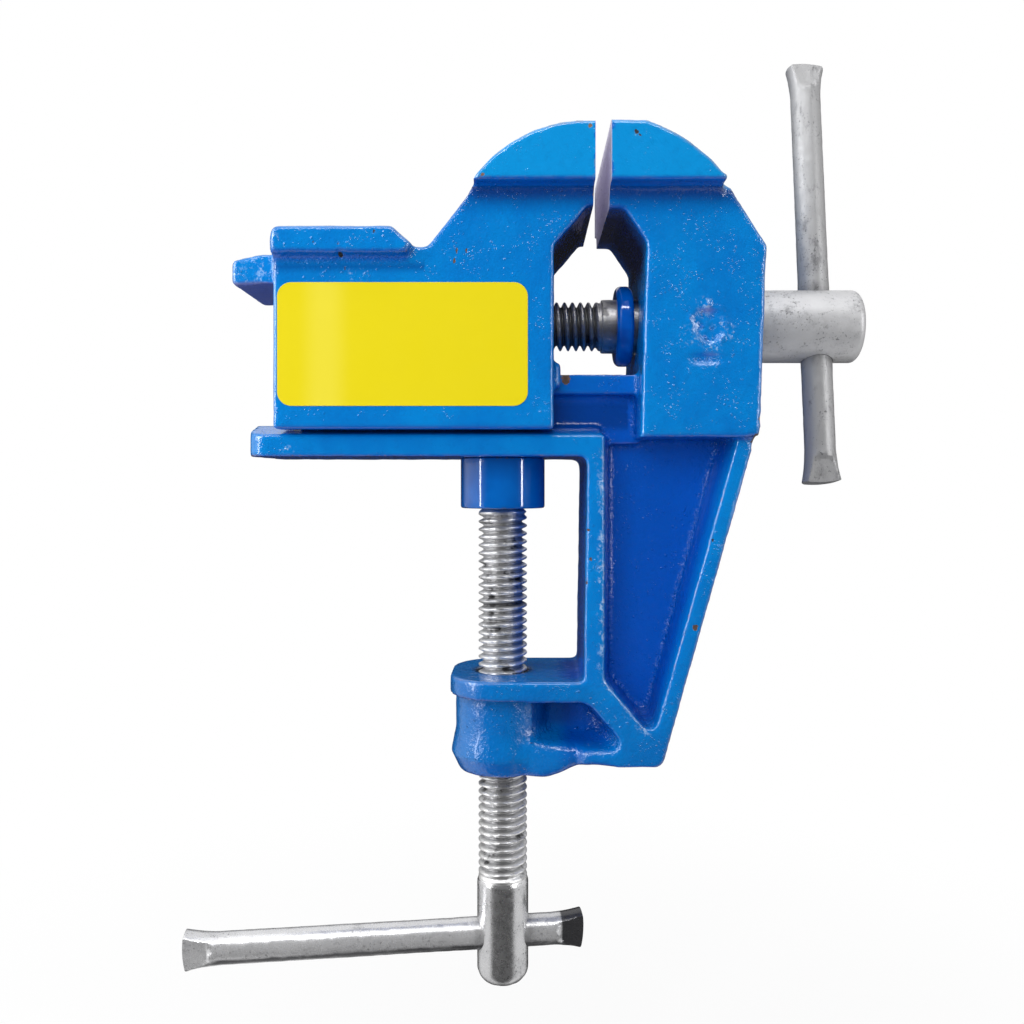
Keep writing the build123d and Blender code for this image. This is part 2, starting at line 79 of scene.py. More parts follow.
class Signal:
    """A node socket that can be used in Python expressions."""

    def __init__(self, tree: bpy.types.NodeTree, socket: bpy.types.NodeSocket) -> None:
        """Wraps one output socket.

        Args:
            tree: The node tree that the socket belongs to.
            socket: The output socket.
        """
        self.tree = tree
        self.socket = socket

    def _maths(self, operation: str, *values: "Signal | float", clamp: bool = False) -> "Signal":
        """Adds one Math node.

        Args:
            operation: The Math node's operation.
            *values: Its inputs, in order.
            clamp: Whether the result is kept between 0 and 1.

        Returns:
            The node's result.
        """
        settings = {"operation": operation, "use_clamp": clamp}
        return add_node(self.tree, "ShaderNodeMath", settings, dict(enumerate(values)))

    def __add__(self, other: "Signal | float") -> "Signal":
        """Sum."""
        return self._maths("ADD", self, other)

    def __radd__(self, other: float) -> "Signal":
        """Sum with a number on the left."""
        return self._maths("ADD", other, self)

    def __sub__(self, other: "Signal | float") -> "Signal":
        """Difference."""
        return self._maths("SUBTRACT", self, other)

    def __rsub__(self, other: float) -> "Signal":
        """Difference with a number on the left."""
        return self._maths("SUBTRACT", other, self)

    def __mul__(self, other: "Signal | float") -> "Signal":
        """Product."""
        return self._maths("MULTIPLY", self, other)

    def __rmul__(self, other: float) -> "Signal":
        """Product with a number on the left."""
        return self._maths("MULTIPLY", other, self)

    def __pow__(self, other: "Signal | float") -> "Signal":
        """Power."""
        return self._maths("POWER", self, other)

    def __abs__(self) -> "Signal":
        """Size without sign."""
        return self._maths("ABSOLUTE", self)

    def clamped(self) -> "Signal":
        """The value kept between 0 and 1."""
        return self._maths("ADD", self, 0.0, clamp=True)

    def highest(self, other: "Signal | float") -> "Signal":
        """The larger of two values."""
        return self._maths("MAXIMUM", self, other)

    def rising(self, start: float, stop: float) -> "Signal":
        """A soft step.

        Args:
            start: The value at which the step begins.
            stop: The value at which it is complete, which may be the lower one.

        Returns:
            0 before start, 1 after stop.
        """
        low, high = min(start, stop), max(start, stop)
        settings = {"interpolation_type": "SMOOTHSTEP"}
        inputs = {"Value": self, "From Min": low, "From Max": high}
        step = add_node(self.tree, "ShaderNodeMapRange", settings, inputs)
        return step if stop > start else 1.0 - step


def add_node(
    tree: bpy.types.NodeTree,
    kind: str,
    settings: Mapping[str, Any] | None = None,
    inputs: Mapping[Any, Any] | None = None,
    output: Any = 0,
) -> Signal:
    """Adds a node to a tree.

    Args:
        tree: The node tree.
        kind: The node's type.
        settings: Its own properties, set before its sockets.
        inputs: Values or links by socket name or number.
        output: Name or number of the output that is returned.

    Returns:
        The chosen output.
    """
    node = tree.nodes.new(kind)
    for name, value in (settings or {}).items():
        setattr(node, name, value)
    for name, value in (inputs or {}).items():
        socket = node.inputs[name]
        if isinstance(value, Signal):
            tree.links.new(value.socket, socket)
        elif isinstance(value, tuple) and len(value) == 3 and socket.type == "RGBA":
            socket.default_value = (*value, 1.0)
        else:
            socket.default_value = value
    return Signal(tree, node.outputs[output])


def ray_kinds(tree: bpy.types.NodeTree) -> tuple[Signal, Signal]:
    """Tells how a surface or the world is being looked at.

    Args:
        tree: The node tree to add to.

    Returns:
        1 for rays from the camera or through glass, and 1 for mirrored rays.
    """
    camera, mirror, glass = (
        add_node(tree, "ShaderNodeLightPath", output=f"Is {kind} Ray")
        for kind in ("Camera", "Glossy", "Transmission")
    )
    return camera.highest(glass), mirror


class Coat:
    """A material under construction, with the patterns that the finishes share."""

    def __init__(self, name: str, **constants: Any) -> None:
        """Starts a material with one principled shader.

        Args:
            name: The material's name.
            **constants: Shader sockets that stay the same all over, with _ for a space.
        """
        self.material = bpy.data.materials.new(name)
        self.material.use_nodes = True
        self.tree = self.material.node_tree
        self.tree.nodes.clear()
        output = self.tree.nodes.new("ShaderNodeOutputMaterial")
        self.shader = self.tree.nodes.new("ShaderNodeBsdfPrincipled")
        self.tree.links.new(self.shader.outputs[0], output.inputs[0])
        for socket, value in constants.items():
            self.shader.inputs[socket.replace("_", " ")].default_value = value
        self.place = self.node("ShaderNodeTexCoord", output="Object")
        self.millimetres = self.node(
            "ShaderNodeVectorMath", {"operation": "SCALE"}, {0: self.place, "Scale": 1 / MM}
        )

    def node(
        self,
        kind: str,
        settings: Mapping[str, Any] | None = None,
        inputs: Mapping[Any, Any] | None = None,
        output: Any = 0,
    ) -> Signal:
        """Adds a node to this material, as add_node does."""
        return add_node(self.tree, kind, settings, inputs, output)

    def axis(self, letter: str) -> Signal:
        """The place along one axis in millimetres, X, Y or Z."""
        return self.node("ShaderNodeSeparateXYZ", None, {0: self.millimetres}, letter)

    def stretched(self, scale: Point, shift: Point = (0.0, 0.0, 0.0)) -> Signal:
        """Coordinates in millimetres, scaled and moved by the given numbers."""
        inputs = {0: self.millimetres, 1: scale, 2: shift}
        return self.node("ShaderNodeVectorMath", {"operation": "MULTIPLY_ADD"}, inputs)

    def grain(
        self, size: float, detail: float = 2.0, rough: float = 0.5, place: Signal | None = None
    ) -> Signal:
        """Soft noise.

        Args:
            size: Width of its lumps in millimetres.
            detail: Number of finer layers.
            rough: Strength of the finer layers.
            place: Coordinates, or the object's own in millimetres.

        Returns:
            Values from about 0.2 to 0.8, with 0.5 in the middle.
        """
        inputs = {
            "Vector": place or self.millimetres,
            "Scale": 1 / size,
            "Detail": detail,
            "Roughness": rough,
        }
        return self.node("ShaderNodeTexNoise", None, inputs)

    def pimples(self, size: float) -> Signal:
        """Distance to the nearest of many scattered points, in their own spacing.

        Args:
            size: Spacing of the points in millimetres.

        Returns:
            0 at each point, rising to about 0.7 between them.
        """
        inputs = {"Vector": self.millimetres, "Scale": 1 / size, "Randomness": 1.0}
        return self.node("ShaderNodeTexVoronoi", None, inputs, "Distance")

    def mark(self, name: str) -> Signal:
        """A number that the mesh carries under this name."""
        return self.node("ShaderNodeAttribute", {"attribute_name": name}, None, "Fac")

    def mixed(self, share: Signal | float, first: Any, second: Any) -> Signal:
        """Blends two colours.

        Args:
            share: 0 for the first colour, 1 for the second.
            first: A colour or its signal.
            second: A colour or its signal.

        Returns:
            The blend.
        """
        ends = [c if isinstance(c, Signal) else (*c, 1.0) for c in (first, second)]
        inputs = {0: share, 6: ends[0], 7: ends[1]}
        return self.node("ShaderNodeMix", {"data_type": "RGBA"}, inputs, 2)

    def raised(self, height: Signal, reach: float) -> Signal:
        """Turns a height into a shading normal.

        Args:
            height: Height as a share of reach.
            reach: Height of 1 in millimetres.

        Returns:
            The normal.
        """
        inputs = {"Height": height, "Distance": reach * MM, "Strength": 1.0}
        return self.node("ShaderNodeBump", None, inputs)

    def dress(self, **sockets: Signal) -> bpy.types.Material:
        """Links patterns to the shader and returns the material, with _ for a space in names."""
        for socket, value in sockets.items():
            self.tree.links.new(value.socket, self.shader.inputs[socket.replace("_", " ")])
        return self.material


# ---------------------------------------------------------------- finishes


@dataclass(frozen=True)
class CastEnamel:
    """Glossy blue enamel over a sand-cast skin, thin and chipped on the edges, with painted light
    on the cheeks, painted shade in recesses and below overhangs, and painted highlights.
    """

    name: str = "blue_cast_enamel"
    body: Colour = (0.0, 0.185, 0.6)
    light: Colour = (0.0, 0.225, 0.66)
    # Painted shade: the darker blue of pockets, hollows and undersides.
    deep_shade: Colour = (0.0, 0.1, 0.56)
    # Painted light: colour of the cheeks, paler as if lit from above.
    cheek_lit: Colour = (0.002, 0.285, 0.7)
    cheek_base: float = CHEEK_BASE
    tan: Colour = (0.3, 0.2, 0.14)
    primer: Colour = (0.2, 0.11, 0.065)
    iron: Colour = (0.018, 0.016, 0.02)
    # Painted shade: the near-black blue inside the relief below the gripping face.
    throat_shade: Colour = (0.005, 0.018, 0.11)
    # Painted shade: the dark blue under the cheeks and ledges, in the neck and lower pocket, and on
    # fine specks.
    painted_shade: Colour = (0.0, 0.045, 0.26)
    dust: Colour = (0.1, 0.1, 0.2)
    bare_cast: Colour = (0.2, 0.2, 0.42)
    # Pale frost: fine scuffs, and painted highlights where glints fall.
    frost_glint: Colour = (0.5, 0.7, 0.92)

    def material(self) -> bpy.types.Material:
        """The enamel as a material."""
        coat = Coat(self.name, Specular_IOR_Level=0.5, Coat_Roughness=0.06, Coat_IOR=1.5)
        colour = coat.mixed(coat.grain(11.0, 3.0, 0.6).rising(0.3, 0.7), self.body, self.light)
        # Painted light: everything above the cheeks' base is drawn in a paler, lit blue.
        height = coat.axis("Z").rising(self.cheek_base - 0.3, self.cheek_base + 0.5)
        colour = coat.mixed(height, colour, self.cheek_lit)
        # Painted shade: pockets, downward faces and concave hollows are darkened.
        shade = coat.mark("shelter").highest(coat.mark("under") * 0.9)
        shade = shade.highest(coat.mark("hollow").rising(0.1, 0.9) * 0.7)
        colour = coat.mixed(shade, colour, self.deep_shade)
        # Painted shade under the cheeks and the anvil's ledge, in the neck and the lower pocket,
        # and lower down on the frame.
        colour = coat.mixed(coat.mark("painted_shade"), colour, self.painted_shade)
        # Painted shade: fine dark specks that stand in for the shading of the skin's small bumps.
        fine = coat.grain(1.5, 3.0, 0.7)
        colour = coat.mixed(fine.rising(0.5, 0.75) * 0.12, colour, self.painted_shade)

        flecks = coat.grain(0.9, 3.0, 0.65)
        blotch = coat.grain(3.2, 3.0, 0.6)
        throat = coat.mark("throat")
        streaks = coat.grain(1.4, 4.0, 0.7, coat.stretched((1.0, 0.22, 1.0)))
        # Painted shade inside the relief below the gripping face, darkest towards its middle, with
        # dust streaks over it.
        colour = coat.mixed(throat, colour, self.throat_shade)
        colour = coat.mixed(throat * streaks.rising(0.56, 0.7) * 0.4, colour, self.dust)
        # Pale frost: scuffs on the horn, and painted highlights on the listed spots and lines; bare
        # iron shows under the horn.
        horn = coat.mark("scuffs_and_glints")
        horn_foot = horn * coat.mark("under") * (0.5 + blotch * 0.6)
        colour = coat.mixed(horn_foot, colour, self.bare_cast)
        frost_glint_share = horn * (1.0 - coat.mark("under")) * flecks.rising(0.5, 0.6)
        frost_glint_share = frost_glint_share * blotch.rising(0.4, 0.6)
        colour = coat.mixed(frost_glint_share * 0.6, colour, self.frost_glint)

        edge = coat.mark("edge")
        thin = edge.rising(0.3, 0.8) * coat.grain(4.0, 3.0).rising(0.38, 0.55)
        arc = coat.axis("Z").rising(self.cheek_base + 1.5, self.cheek_base + 3.0)
        colour = coat.mixed(thin * (0.14 + arc * 0.5), colour, self.tan)
        worn = edge.rising(0.4, 1.0) * flecks.rising(0.52, 0.62)
        worn = worn * coat.grain(7.0, 2.0).rising(0.45, 0.6)
        chipped = (coat.mark("chip") + (flecks - 0.5) * 0.9).rising(0.42, 0.55)
        colour = coat.mixed(worn * 0.85, colour, self.primer)
        bared = coat.mixed(coat.mark("dark"), self.primer, self.iron)
        colour = coat.mixed(chipped, colour, bared)
        # Grime mark: dirt and grease, and round the clamp screw's bore also painted shade.
        colour = coat.mixed(coat.mark("grime") * (0.6 + flecks * 0.6).clamped(), colour, self.iron)

        patches = coat.grain(5.0, 2.0)
        grit = coat.pimples(1.25).rising(0.3, 0.02) * patches.rising(0.44, 0.66)
        sand = coat.pimples(0.62).rising(0.36, 0.02) * coat.grain(3.6, 2.0).rising(0.46, 0.66)
        peel = coat.grain(2.4, 2.0, 0.55)
        smooth = (1.0 - height * 0.7) * (1.0 - coat.mark("calm") * 0.6)
        dip = coat.mark("hollow").rising(0.05, 0.45)
        smooth = smooth * (1.0 + dip * 1.2)
        coarse = coat.mark("coarse")
        relief = grit * (1.0 + coarse * 0.5) + sand + peel * 0.4 - chipped * 0.5
        relief = relief + (coat.grain(0.8, 2.0, 0.6) - 0.5) * (0.9 + dip * 1.6 + coarse * 0.5)
        relief = relief - throat * streaks * 0.5
        normal = coat.raised(relief * smooth, 0.15)
        bare = worn.highest(chipped).highest(throat * streaks.rising(0.54, 0.7))
        bare = bare.highest(horn * coat.mark("under"))
        gloss = 0.12 + blotch * 0.12 + bare * 0.4
        return coat.dress(
            Base_Color=colour, Roughness=gloss, Normal=normal, Coat_Weight=(1.0 - bare) * 0.4
        )


@dataclass(frozen=True)
class GroundIron:
    """The ground gripping faces, bare iron with fine marks and a few dark specks."""

    name: str = "ground_iron"
    tone: Colour = (0.8, 0.77, 0.93)
    speck: Colour = (0.05, 0.04, 0.06)

    def material(self) -> bpy.types.Material:
        """The ground iron as a material."""
        coat = Coat(self.name, Metallic=0.3, Specular_IOR_Level=0.4)
        lines = coat.grain(1.0, 2.0, 0.6, coat.stretched((4.0, 0.25, 4.0)))
        specks = coat.grain(1.1, 3.0, 0.7).rising(0.64, 0.7)
        colour = coat.mixed(lines.rising(0.3, 0.7) * 0.25, self.tone, (0.4, 0.37, 0.42))
        colour = coat.mixed(specks, colour, self.speck)
        normal = coat.raised(lines, 0.012)
        return coat.dress(Base_Color=colour, Roughness=0.42 + lines * 0.12, Normal=normal)


@dataclass(frozen=True)
class TurnedEnamel:
    """Smooth glossy enamel on a turned steel piece."""

    name: str
    tone: Colour
    dark: Colour
    gloss: float = 0.12
    wave: float = 0.015

    def material(self) -> bpy.types.Material:
        """The enamel as a material."""
        coat = Coat(self.name, Specular_IOR_Level=0.5, Coat_Roughness=0.06, Coat_Weight=0.4)
        tone = coat.grain(6.0, 2.0).rising(0.35, 0.65)
        colour = coat.mixed(tone, self.dark, self.tone)
        worn = coat.mark("edge").rising(0.5, 1.2) * coat.grain(0.8, 3.0).rising(0.52, 0.62)
        colour = coat.mixed(worn * 0.7, colour, (0.05, 0.06, 0.09))
        waves = coat.grain(3.4, 2.0, 0.5) + coat.grain(0.8, 1.0) * 0.1
        normal = coat.raised(waves, self.wave)
        return coat.dress(Base_Color=colour, Roughness=self.gloss + worn * 0.3, Normal=normal)


@dataclass(frozen=True)
class ZincPlate:
    """Zinc-plated steel with smudges, pits and scuffs.

    Attributes:
        name: The material's name.
        tone: Colour of the clean plating.
        dirt: Colour of the smudges.
        rough: Roughness of the clean plating.
        grime: Share of the surface that the smudges cover, from 0 to 1.
        stretch: How the smudges are drawn out along each axis.
        metal: How metallic the plating is, less where it is dull.
        scuff: Height of its fine scuffs in millimetres.
    """

    name: str
    tone: Colour = (0.62, 0.62, 0.63)
    dirt: Colour = (0.07, 0.07, 0.075)
    rough: float = 0.34
    grime: float = 0.5
    stretch: Point = (1.0, 1.0, 1.0)
    metal: float = 1.0
    scuff: float = 0.03

    def material(self) -> bpy.types.Material:
        """The plating as a material."""
        coat = Coat(self.name, Metallic=self.metal)
        place = coat.stretched(self.stretch)
        cloud = coat.grain(6.0, 4.0, 0.6, place)
        smudge = coat.grain(2.2, 5.0, 0.7, place)
        edge = 0.72 - 0.2 * self.grime
        dirty = (smudge * 0.6 + cloud * 0.4).rising(edge - 0.1, edge + 0.08)
        specks = coat.grain(0.55, 3.0, 0.7).rising(0.57, 0.67) * cloud.rising(0.42, 0.58)
        colour = coat.mixed(cloud.rising(0.3, 0.75) * 0.3, self.tone, (0.42, 0.42, 0.44))
        colour = coat.mixed(dirty * 0.6, colour, self.dirt)
        colour = coat.mixed(specks * 0.7, colour, self.dirt)
        # The mesh's grime mark: on the tommy bars it also holds painted contact shade and a painted
        # dark reflection line.
        colour = coat.mixed((coat.mark("grime") * (0.35 + smudge)).clamped(), colour, self.dirt)
        scuffs = coat.grain(0.35, 4.0, 0.7) + smudge * 0.8
        normal = coat.raised(scuffs - specks * 0.5, self.scuff)
        gloss = self.rough + dirty * 0.22 + (coat.grain(1.3, 3.0) - 0.5) * 0.3
        return coat.dress(Base_Color=colour, Roughness=gloss, Normal=normal)


@dataclass(frozen=True)
class ThreadSteel:
    """A cut thread: bright crests, dark grooves and dirty patches.

    Attributes:
        name: The material's name.
        crest: Colour of the rubbed crests.
        groove: Colour of the grooves.
        grime: Share of dark patches, from 0 to 1.
        rough: Roughness of the crests.
        ring: Height in millimetres of one dark dirty ring round the thread, if it has one.
    """

    name: str
    crest: Colour
    groove: Colour
    grime: float
    rough: float
    ring: float | None = None

    def material(self) -> bpy.types.Material:
        """The thread as a material."""
        coat = Coat(self.name, Metallic=1.0)
        depth = coat.mark("groove")
        colour = coat.mixed(depth.rising(0.15, 0.95), self.crest, self.groove)
        patch = coat.grain(4.5, 3.0, 0.6).rising(0.66 - 0.2 * self.grime, 0.74 - 0.16 * self.grime)
        specks = coat.grain(0.7, 4.0, 0.7).rising(0.56, 0.68)
        dark = (patch * (0.45 + depth * 0.4) + specks * 0.35).clamped()
        if self.ring is not None:
            away = abs(coat.axis("Z") - self.ring)
            dark = dark.highest(away.rising(1.1, 0.2) * (0.55 + specks * 0.4))
        colour = coat.mixed(dark, colour, (0.012, 0.012, 0.014))
        normal = coat.raised(coat.grain(0.4, 3.0, 0.7) + specks * 0.5, 0.04)
        return coat.dress(
            Base_Color=colour, Roughness=self.rough + depth * 0.12 + dark * 0.25, Normal=normal
        )


@dataclass(frozen=True)
class VinylLabel:
    """A glossy yellow sticker without any print, with a painted sheen band."""

    name: str = "blank_yellow_label"
    tone: Colour = (0.82, 0.68, 0.006)
    # Painted highlight: colour of the sheen band.
    pale: Colour = (0.87, 0.745, 0.05)
    sheen_x: float = -37.0

    def material(self) -> bpy.types.Material:
        """The sticker as a material."""
        coat = Coat(self.name, Specular_IOR_Level=0.4, Coat_Roughness=0.15, Coat_Weight=0.15)
        # Painted highlight: a pale sheen band across the label, centred at sheen_x.
        highlight_band = abs(coat.axis("X") - self.sheen_x).rising(6.0, 1.0)
        mottle = coat.grain(5.0, 3.0, 0.6)
        colour = coat.mixed(highlight_band * 0.75 + mottle * 0.04, self.tone, self.pale)
        normal = coat.raised(coat.grain(7.0, 2.0) + coat.grain(0.6, 2.0) * 0.08, 0.06)
        return coat.dress(Base_Color=colour, Roughness=0.32 + mottle * 0.08, Normal=normal)


@dataclass(frozen=True)
class FloorCard:
    """Pale card, white to the camera away from the object, where it keeps a soft shadow."""

    name: str = "pale_floor_card"
    seen: Colour = (0.92, 0.92, 0.92)
    lit: Colour = (0.5, 0.5, 0.5)
    glow: float = 0.86
    far_start: float = 50.0
    far_stop: float = 260.0
    mirror_level: float = 0.75
    flag_spread: float = 0.8
    flag_soft: float = 9.0
    flag_tone: float = 0.04

    def material(self) -> bpy.types.Material:
        """The card as a material."""
        coat = Coat(self.name, Roughness=0.9, Specular_IOR_Level=0.0)
        direct, mirror = ray_kinds(coat.tree)
        coat.dress(Base_Color=coat.mixed(direct, self.lit, self.seen))
        east, north = coat.axis("X"), coat.axis("Y")
        away = (east * east + north * north) ** 0.5
        ahead = abs(north) - abs(east) * self.flag_spread
        flag = ahead.rising(-self.flag_soft, self.flag_soft) * (1.0 - self.flag_tone)
        far = away.rising(self.far_start, self.far_stop)
        light = direct.highest(mirror * (1.0 - flag) * self.mirror_level)
        glow = coat.node("ShaderNodeEmission", None, {"Color": (1.0, 1.0, 1.0), "Strength": light})
        keep = (direct * (self.glow + far * (1.0 - self.glow))).highest(mirror)
        soft = Signal(coat.tree, coat.shader.outputs[0])
        mixed = coat.node("ShaderNodeMixShader", None, {0: keep, 1: soft, 2: glow})
        output = next(n for n in coat.tree.nodes if n.type == "OUTPUT_MATERIAL")
        coat.tree.links.new(mixed.socket, output.inputs[0])
        coat.material.cycles.emission_sampling = "NONE"
        return coat.material


# ---------------------------------------------------------------- mesh helpers


def points_of(mesh: bpy.types.Mesh) -> np.ndarray:
    """The vertices' places in millimetres, one row each."""
    flat = np.empty(len(mesh.vertices) * 3)
    mesh.vertices.foreach_get("co", flat)
    return flat.reshape(-1, 3) / MM


def set_points(mesh: bpy.types.Mesh, points: np.ndarray) -> None:
    """Moves the vertices to places in millimetres."""
    mesh.vertices.foreach_set("co", (points * MM).ravel())
    mesh.update()


def edges_of(mesh: bpy.types.Mesh) -> np.ndarray:
    """The two vertex numbers of each edge."""
    flat = np.empty(len(mesh.edges) * 2, dtype=np.int32)
    mesh.edges.foreach_get("vertices", flat)
    return flat.reshape(-1, 2)


def normals_of(mesh: bpy.types.Mesh) -> np.ndarray:
    """The vertices' normals, one row each."""
    flat = np.empty(len(mesh.vertices) * 3)
    mesh.vertex_normals.foreach_get("vector", flat)
    return flat.reshape(-1, 3)


def averaged(values: np.ndarray, edges: np.ndarray, rounds: int, share: float) -> np.ndarray:
    """Moves each vertex's value towards the mean of its neighbours.

    Args:
        values: One row for each vertex.
        edges: Vertex numbers of each edge.
        rounds: How many times.
        share: How far towards the mean each time, from 0 to 1.

    Returns:
        The new values.
    """
    count = len(values)
    first, second = edges[:, 0], edges[:, 1]
    degree = np.bincount(first, minlength=count) + np.bincount(second, minlength=count)
    degree = np.maximum(degree, 1)
    result = values.copy()
    for _ in range(rounds):
        for column in range(values.shape[1]):
            line = result[:, column]
            total = np.bincount(first, line[second], count)
            total = total + np.bincount(second, line[first], count)
            result[:, column] = line + share * (total / degree - line)
    return result


def bends_of(mesh: bpy.types.Mesh) -> np.ndarray:
    """How sharply the surface bends at each vertex, in one over millimetres, convex above zero."""
    points, normals, edges = points_of(mesh), normals_of(mesh), edges_of(mesh)
    first, second = edges[:, 0], edges[:, 1]
    step = points[second] - points[first]
    square = np.maximum((step**2).sum(1), 1e-9)
    count = len(points)
    near = -2 * (step * normals[first]).sum(1) / square
    far = 2 * (step * normals[second]).sum(1) / square
    degree = np.bincount(first, minlength=count) + np.bincount(second, minlength=count)
    bend = np.bincount(first, near, count) + np.bincount(second, far, count)
    bend = bend / np.maximum(degree, 1)
    return averaged(np.clip(bend, -SHARPEST, SHARPEST)[:, None], edges, 1, 0.5)[:, 0]


def carry(mesh: bpy.types.Mesh, name: str, values: np.ndarray) -> None:
    """Stores one number for each vertex on the mesh, under a name that a finish reads."""
    store = mesh.attributes.new(name, "FLOAT", "POINT")
    store.data.foreach_set("value", values.astype(np.float32))


def noise_at(points: np.ndarray, size: float, seed: float) -> np.ndarray:
    """Soft noise from -1 to 1 with lumps of the given size in millimetres."""
    scaled = points / size + seed
    return np.array([noise.noise(Vector(p)) for p in scaled])


def ramp(values: np.ndarray, start: Any, reach: Any) -> np.ndarray:
    """Rises in a straight line.

    Args:
        values: The values.
        start: Where it is 0.
        reach: How much further on it is 1, below zero where it rises towards lower values.

    Returns:
        Numbers from 0 to 1.
    """
    return np.clip((values - start) / reach, 0, 1)


def pushed_out(
    points: np.ndarray,
    columns: tuple[int, int],
    centre: tuple[float, float],
    clear: float,
    inside: np.ndarray | bool = True,
) -> None:
    """Moves points out of a round bore, in place.

    Args:
        points: The points, one row each.
        columns: The two axes across the bore.
        centre: The bore's middle on those axes.
        clear: The bore's radius.
        inside: Which points may be moved.
    """
    arm = points[:, columns] - np.array(centre)
    away = np.linalg.norm(arm, axis=1)
    near = inside & (away < clear) & (away > TINY)
    scale = np.where(near, clear / np.maximum(away, TINY), 1.0)
    points[:, columns] = np.array(centre) + arm * scale[:, None]


def settle(obj: bpy.types.Object) -> None:
    """Turns the object's modifiers into its own mesh."""
    graph = bpy.context.evaluated_depsgraph_get()
    made = bpy.data.meshes.new_from_object(obj.evaluated_get(graph), depsgraph=graph)
    old = obj.data
    obj.modifiers.clear()
    obj.data = made
    bpy.data.meshes.remove(old)


def shown(name: str, mesh: bpy.types.Mesh) -> bpy.types.Object:
    """Puts a mesh into the scene as an object."""
    obj = bpy.data.objects.new(name, mesh)
    bpy.context.collection.objects.link(obj)
    return obj


def bored(obj: bpy.types.Object, *cutters: bpy.types.Mesh) -> None:
    """Cuts closed meshes out of an object.

    Args:
        obj: The object to cut.
        *cutters: Closed meshes, which are deleted afterwards.
    """
    for cutter in cutters:
        tool = shown("cutter", cutter)
        cut = obj.modifiers.new("cut", "BOOLEAN")
        cut.operation = "DIFFERENCE"
        cut.solver = "EXACT"
        cut.object = tool
        settle(obj)
        bpy.data.objects.remove(tool)
        bpy.data.meshes.remove(cutter)


def fitted(obj: bpy.types.Object, crease: float, body: str, slot: str, *nodes: str) -> None:
    """Shades a finished piece smooth and hands it to the frame.

    Args:
        obj: The piece.
        crease: Angle in degrees between faces from which their edge is sharp.
        body: The CAD body that it moves with.
        slot: Not used.
        *nodes: The CAD nodes that it stands for.
    """
    obj.data.polygons.foreach_set("use_smooth", [True] * len(obj.data.polygons))
    obj.data.set_sharp_from_angle(angle=math.radians(crease))
    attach(obj, body)
    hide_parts(*nodes)
    report.info("%s: %d faces on %s", obj.name, len(obj.data.polygons), body)


def softened(corners: Sequence[tuple[float, float, float]]) -> list[tuple[float, float]]:
    """Rounds the corners of a turned profile.

    Args:
        corners: Distance along the axis, radius, and how far the rounding reaches.

    Returns:
        Distance and radius of each point.
    """
    points: list[tuple[float, float]] = []
    for index, (distance, radius, rounding) in enumerate(corners):
        here = Vector((distance, radius))
        if not rounding or index in (0, len(corners) - 1):
            points.append((distance, radius))
            continue
        before = Vector(corners[index - 1][:2]) - here
        after = Vector(corners[index + 1][:2]) - here
        reach = min(rounding, before.length / 2, after.length / 2)
        start, stop = here + before.normalized() * reach, here + after.normalized() * reach
        for step in range(ARC_STEPS + 1):
            share = step / ARC_STEPS
            arc = start * (1 - share) ** 2 + here * 2 * share * (1 - share) + stop * share**2
            points.append((arc.x, arc.y))
    return points


def stepped(
    profile: Sequence[tuple[float, float]], spacing: Callable[[float], float]
) -> list[tuple[float, float]]:
    """Adds points to a profile's long runs.

    Args:
        profile: Distance and radius of each point.
        spacing: The widest step that is allowed at a distance.

    Returns:
        The denser profile.
    """
    points = [profile[0]]
    for (d0, r0), (d1, r1) in zip(profile, profile[1:]):
        middle = (d0 + d1) / 2
        count = max(1, math.ceil(math.hypot(d1 - d0, r1 - r0) / spacing(middle)))
        points += [
            (d0 + (d1 - d0) * k / count, r0 + (r1 - r0) * k / count) for k in range(1, count + 1)
        ]
    return points


